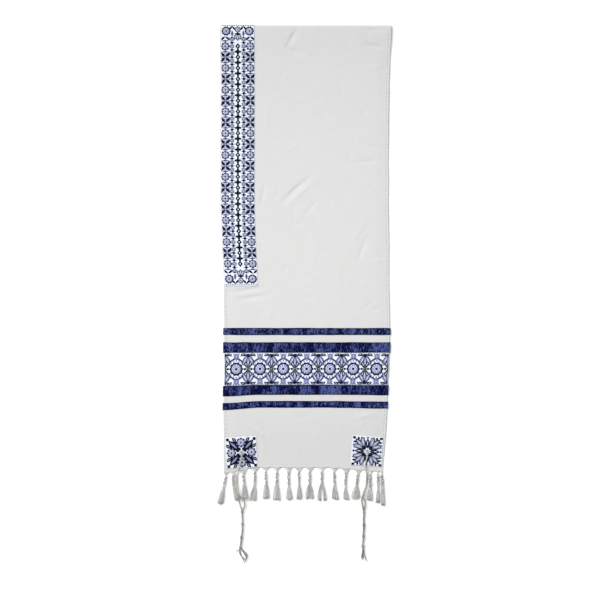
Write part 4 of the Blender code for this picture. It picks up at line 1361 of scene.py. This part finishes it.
def corner_cord(side, material):
    """A tzitzit: strands through the eyelet and from under the hem, wound between knots, and loose ends."""
    rows = CORDS[side]
    seed, draws = (1.5, 7) if side == "left" else (6.5, 8)
    x, y = PATCHES[side][:2]
    parts = bundle([(x + dx, y + dy, z) for dx, dy, z in EYELET_ROUTE] + rows["front"], 4)
    parts += bundle(rows["back"], 4, 0.7)
    core = smooth_path(rows["wound"], 1.0)
    core[:, 0] += 0.8 * uneven(core[:, 1] / 13, core[:, 1] * 0 + seed, 4)
    parts += wound_part(core, rows["knots"])
    parts += loose_ends(core[-1], rows["ends"], np.random.default_rng(draws))
    points, faces, uv = join_parts(parts)
    node = f"tzitzit_{side}"
    piece = new_piece(node + "_strands", points, faces, uv, material, [node])
    # The cords are greyer below the fringe than by the hem, and unevenly so along their length.
    further_down = smooth((-505 * MM - points[:, 1]) / (75 * MM))
    stretches = uneven(points[:, 1] / (11 * MM), points[:, 1] * 0 + seed, 15)
    shade_points(piece, 0.1 + further_down * (0.5 + 0.4 * stretches))
    return piece


# Threads that have come loose between the tassels and beside the cords: x, y, z along each, in millimetres.
LOOSE_THREADS = [
    [
        (-148.5, -548, 2.2), (-142, -556, 5.2), (-134, -560, 5.6),
        (-126, -557, 5.4), (-118, -561, 4.9), (-111, -566, 2.2),
    ],
    [
        (-136, -520, 4.8), (-131, -530, 5.2), (-127.5, -540, 4.4),
        (-129, -552, 5.2), (-124, -560, 5.4), (-117, -557, 5.0),
    ],
    [(-148, -562, 3.2), (-138, -566, 4.9), (-128, -564, 4.8), (-121, -567, 4.2)],
    [(-76, -560, 2.0), (-73.5, -566, 1.2), (-78.5, -569, 0.7)],
    [(119, -557, 3.8), (124, -560, 1.8), (131, -556, 1.6), (137, -560, 3.4), (141, -564, 4.6)],
    [(117, -561, 2.4), (124, -557.5, 1.2), (132, -562, 1.3), (138, -566, 1.6)],
    [
        (128.2, -643, 5.6), (123.4, -642, 3.2), (120.6, -649, 1.0),
        (120.4, -660, 0.8), (122.4, -669, 1.0), (126.6, -674, 3.6),
    ],
    [(-150, -598, 1.2), (-148.6, -604, 0.8), (-148.9, -612, 0.8), (-146.0, -620, 2.4)],
]


def loose_threads(material):
    parts = []
    for stops in LOOSE_THREADS:
        path = smooth_path(stops, 1.0) * MM
        parts.append(tubes(path[None], 0.3 * MM, 5, 2, 0.15, 4 * MM))
    points, faces, uv = join_parts(parts)
    return new_piece("loose_threads", points, faces, uv, material)


def eyelet(side, shapes, where, material):
    """The eyelet: buttonhole stitches side by side round the hole, each bowed over its edge."""
    bar = shapes["bar"]
    length, wide = 2.5, 0.95
    radius = EYELET_RADIUS / MM
    bow = np.cos(math.pi / 2 * np.clip(bar[0][:, 0] * length / 1.6, -1, 1))
    height = bar[0][:, 2] * 0.7 + bow * 0.55 - 0.5
    parts = []
    for k in range(EYELET_STITCHES):
        turn = 2 * math.pi * k / EYELET_STITCHES
        x, y = radius * math.cos(turn), radius * math.sin(turn)
        parts.append(laid_shape(bar, x, y, math.degrees(turn), length, wide, height))
    lift = SEAM + PATCH_WALL + 0.1 * MM
    node = f"eyelet_{side}"
    return draped(node + "_stitches", parts, where, lift, material, [node], False)


def punch(pieces, x, y):
    """Cuts the eyelet's round hole through the cloth and the patch's ground."""
    bpy.ops.object.select_all(action="DESELECT")
    bpy.ops.mesh.primitive_cylinder_add(vertices=24, radius=EYELET_HOLE, depth=30 * MM, location=(x, y, 0))
    cutter = bpy.context.object
    for piece in pieces:
        hole = piece.modifiers.new("hole", "BOOLEAN")
        hole.operation = "DIFFERENCE"
        hole.solver = "EXACT"
        hole.object = cutter
        apply_modifiers(piece)
    mesh = cutter.data
    bpy.data.objects.remove(cutter)
    bpy.data.meshes.remove(mesh)


def floor_and_light():
    """A plain pale floor, a soft key light from the upper left, a softbox overhead and an even fill."""
    bpy.ops.object.select_all(action="DESELECT")
    bpy.ops.mesh.primitive_plane_add(size=9, location=(0, 0, -0.25 * MM))
    floor = bpy.context.object
    floor.name = "floor"
    bpy.ops.object.transform_apply(location=True)
    floor.data.materials.append(seamless_paper())
    world = bpy.data.worlds.new("soft studio")
    world.use_nodes = True
    world.node_tree.nodes["Background"].inputs["Color"].default_value = (1, 1, 1, 1)
    world.node_tree.nodes["Background"].inputs["Strength"].default_value = FILL
    bpy.context.scene.world = world
    key = bpy.data.lights.new("key", "SUN")
    key.energy = KEY
    key.angle = math.radians(40)
    bright = bpy.data.objects.new("key", key)
    bright.rotation_euler = (-Vector(KEY_FROM)).to_track_quat("-Z", "Y").to_euler()
    bpy.context.scene.collection.objects.link(bright)
    soft = bpy.data.lights.new("overhead softbox", "AREA")
    soft.shape = "SQUARE"
    soft.size = 0.9
    soft.energy = OVERHEAD
    overhead = bpy.data.objects.new("overhead softbox", soft)
    overhead.location = OVERHEAD_PLACE
    bpy.context.scene.collection.objects.link(overhead)
    bpy.context.scene.view_settings.view_transform = "Standard"
    return floor


def camera():
    made = bpy.data.cameras.new("camera")
    made.sensor_width = 36
    made.lens = 36 * CAMERA_HEIGHT / VIEW_WIDTH
    made.clip_end = 100
    looking = bpy.data.objects.new("camera", made)
    looking.location = (*VIEW_MIDDLE, CAMERA_HEIGHT)
    bpy.context.scene.collection.objects.link(looking)
    bpy.context.scene.camera = looking


def on_cloth(x, y):
    return x, y


def on_band(x, y):
    return x, y + BAND_START


def on_atara(x, y):
    return x + ATARA_INSET + ATARA_WIDTH / 2, y + ATARA_START


def on_patch(side):
    x, y, _, _, turn = PATCHES[side]
    c, s = cos_sin(turn)

    def where(u, v):
        return place_on_upper(x * MM + u * c - v * s, y * MM + u * s + v * c)

    return where


def embroidery_threads():
    """The rayon threads. The two dark ones have little gloss, so that they show nearly black."""
    colours = {
        # thread: colour's name, colour, light colour of each thread's painted highlight, gloss
        "navy": ("navy", "#050B28", "#121C3E", 0.05),
        "ink": ("blue-black", "#050712", "#101424", 0.05),
        "lavender": ("lavender blue", "#5D6496", "#969DD2", 0.2),
        "violet": ("violet blue", "#565B8A", "#868BBA", 0.2),
        "slate": ("slate", "#6A718C", "#98A0B8", 0.2),
        "white": ("white", "#D0D5E0", "#E2E5EC", 0.2),
    }
    threads = {}
    for thread, (name, *look) in colours.items():
        threads[thread] = satin_stitch(f"rayon thread, {name}, satin stitched", *look)
    return threads


def sew_ribbons(shapes, silk, thread):
    start = BORDER_START
    for number, (name, size, wall) in enumerate(BORDER):
        end = start + size * MM
        if name and name.startswith("ribbon"):
            piece = ribbon(name, start, end, wall, 11 + number, silk)
            runs = []
            for y in (start / MM + RIBBON_SEWN, end / MM - RIBBON_SEWN):
                runs.append((-1, y, CLOTH_WIDTH / MM + 1, y))
            lift = SEAM + (wall - 0.3) * MM
            stitches = sewing(
                name + "_stitches", runs, shapes, on_cloth, lift, thread, puckered=False
            )
        start = end


def sew_band(shapes, threads, base):
    columns = lines(BAND_INSET, CLOTH_WIDTH - BAND_INSET, 2.4 * MM)
    rows = lines(SEAM, BAND_HEIGHT * MM - SEAM, 2.4 * MM)
    band = ground("embroidered_band", columns, rows, on_band, BAND_WALL, base)
    inset = BAND_INSET / MM + 0.3
    extent = (inset, CLOTH_WIDTH / MM - inset, 0.8, BAND_HEIGHT - 0.8)
    stitched = embroider("band", band_stitches(), shapes, on_band, BAND_WALL, threads, extent)


def sew_atara(shapes, threads, base, thread):
    half = ATARA_WIDTH / 2
    length = ATARA_END - ATARA_START
    rows = np.concatenate([
        lines(0, FLAT_END - ATARA_START, 2.6 * MM)[:-1],
        lines(FLAT_END - ATARA_START, length, 0.6 * MM),
    ])
    atara = ground("atara", lines(-half, half, 2.5 * MM), rows, on_atara, ATARA_WALL, base)
    extent = (0.4 - half / MM, half / MM - 0.4, 2.4, length / MM - 0.4)
    stitched = embroider("atara", atara_stitches(), shapes, on_atara, ATARA_WALL, threads, extent)
    edge = half / MM - GROUND_SEWN
    low, top = GROUND_SEWN, (FLAT_END - ATARA_START) / MM
    runs = [(-edge, low, edge, low), (-edge, low, -edge, top), (edge, low, edge, top)]
    lift = SEAM + ATARA_WALL - 0.55 * MM
    stitched.append(sewing("atara_stitches", runs, shapes, on_atara, lift, thread))


def sew_patch(side, design, cloth, shapes, threads, base, thread):
    """A corner patch with its stitching and eyelet, and the hole through it and the cloth."""
    x, y, wide, high, _ = PATCHES[side]
    where = on_patch(side)
    columns = lines(-wide / 2 * MM, wide / 2 * MM, 2.5 * MM)
    rows = lines(-high / 2 * MM, high / 2 * MM, 2.5 * MM)
    patch = ground(f"corner_patch_{side}", columns, rows, where, PATCH_WALL, base)
    ex, ey = wide / 2 - PATCH_SEWN, high / 2 - PATCH_SEWN
    stitched = embroider(f"patch_{side}", design, shapes, where, PATCH_WALL, threads, (-ex, ex, -ey, ey))
    runs = [(-ex, -ey, ex, -ey), (ex, -ey, ex, ey), (ex, ey, -ex, ey), (-ex, ey, -ex, -ey)]
    lift = SEAM + PATCH_WALL - 0.55 * MM
    stitched.append(sewing(f"patch_{side}_stitches", runs, shapes, where, lift, thread))
    stitched.append(eyelet(side, shapes, where, thread))
    punch([cloth, patch], x * MM, y * MM)


def sew_side_hems(shapes, thread):
    """The stitches of the side hems. The left hem's stop under the atara."""
    left = (SIDE_HEM - 1.4 * MM) / MM
    right = CLOTH_WIDTH / MM - left
    runs = [(left, 6, left, 404), (right, 6, right, (FLAT_END - 4 * MM) / MM)]
    return sewing(
        "side_hem_stitches", runs, shapes, on_cloth, 0.02 * MM, thread, (4.6, 0.8), 4.1, False
    )


def dress():
    camera()
    floor = floor_and_light()
    shapes = stitch_shapes()
    threads = embroidery_threads()
    wool = woven_wool()
    silk = crinkled_silk()
    base = sateen("cotton sateen ground, blue-white", "#DEE3EF", "#D5DAE8")
    white_sewing = satin_stitch("polyester sewing thread, white", "#C6C6C6", "#DCDCDC")
    # The hem's stitches are white thread painted grey with the shade of the dimple each sinks into.
    hem_sewing = satin_stitch("cotton sewing thread, grey-white, sunk in the hem", "#9E9E9D", "#B2B2B0")
    navy_sewing = satin_stitch("polyester sewing thread, navy", "#080E2A", "#151E3C", 0.05)
    fringe_yarn = spun_yarn("wool warp ends, twisted", "#EFEFED", "#A9A9A7", 3.2 * MM)
    tzitzit_yarn = spun_yarn("spun wool cord, plied", "#D2D0C6", "#6E6E6B", 2.6 * MM)

    cloth = shawl_cloth(wool)
    sew_ribbons(shapes, silk, navy_sewing)
    sew_band(shapes, threads, base)
    sew_atara(shapes, threads, base, white_sewing)
    for side, design in (("left", star_patch()), ("right", tulip_patch())):
        sew_patch(side, design, cloth, shapes, threads, base, white_sewing)
        corner_cord(side, tzitzit_yarn)
    side_sewing = sew_side_hems(shapes, hem_sewing)
    tassels = [tassel(number, row, fringe_yarn) for number, row in enumerate(TASSELS, 1)]
    loose = loose_threads(fringe_yarn)


dress()
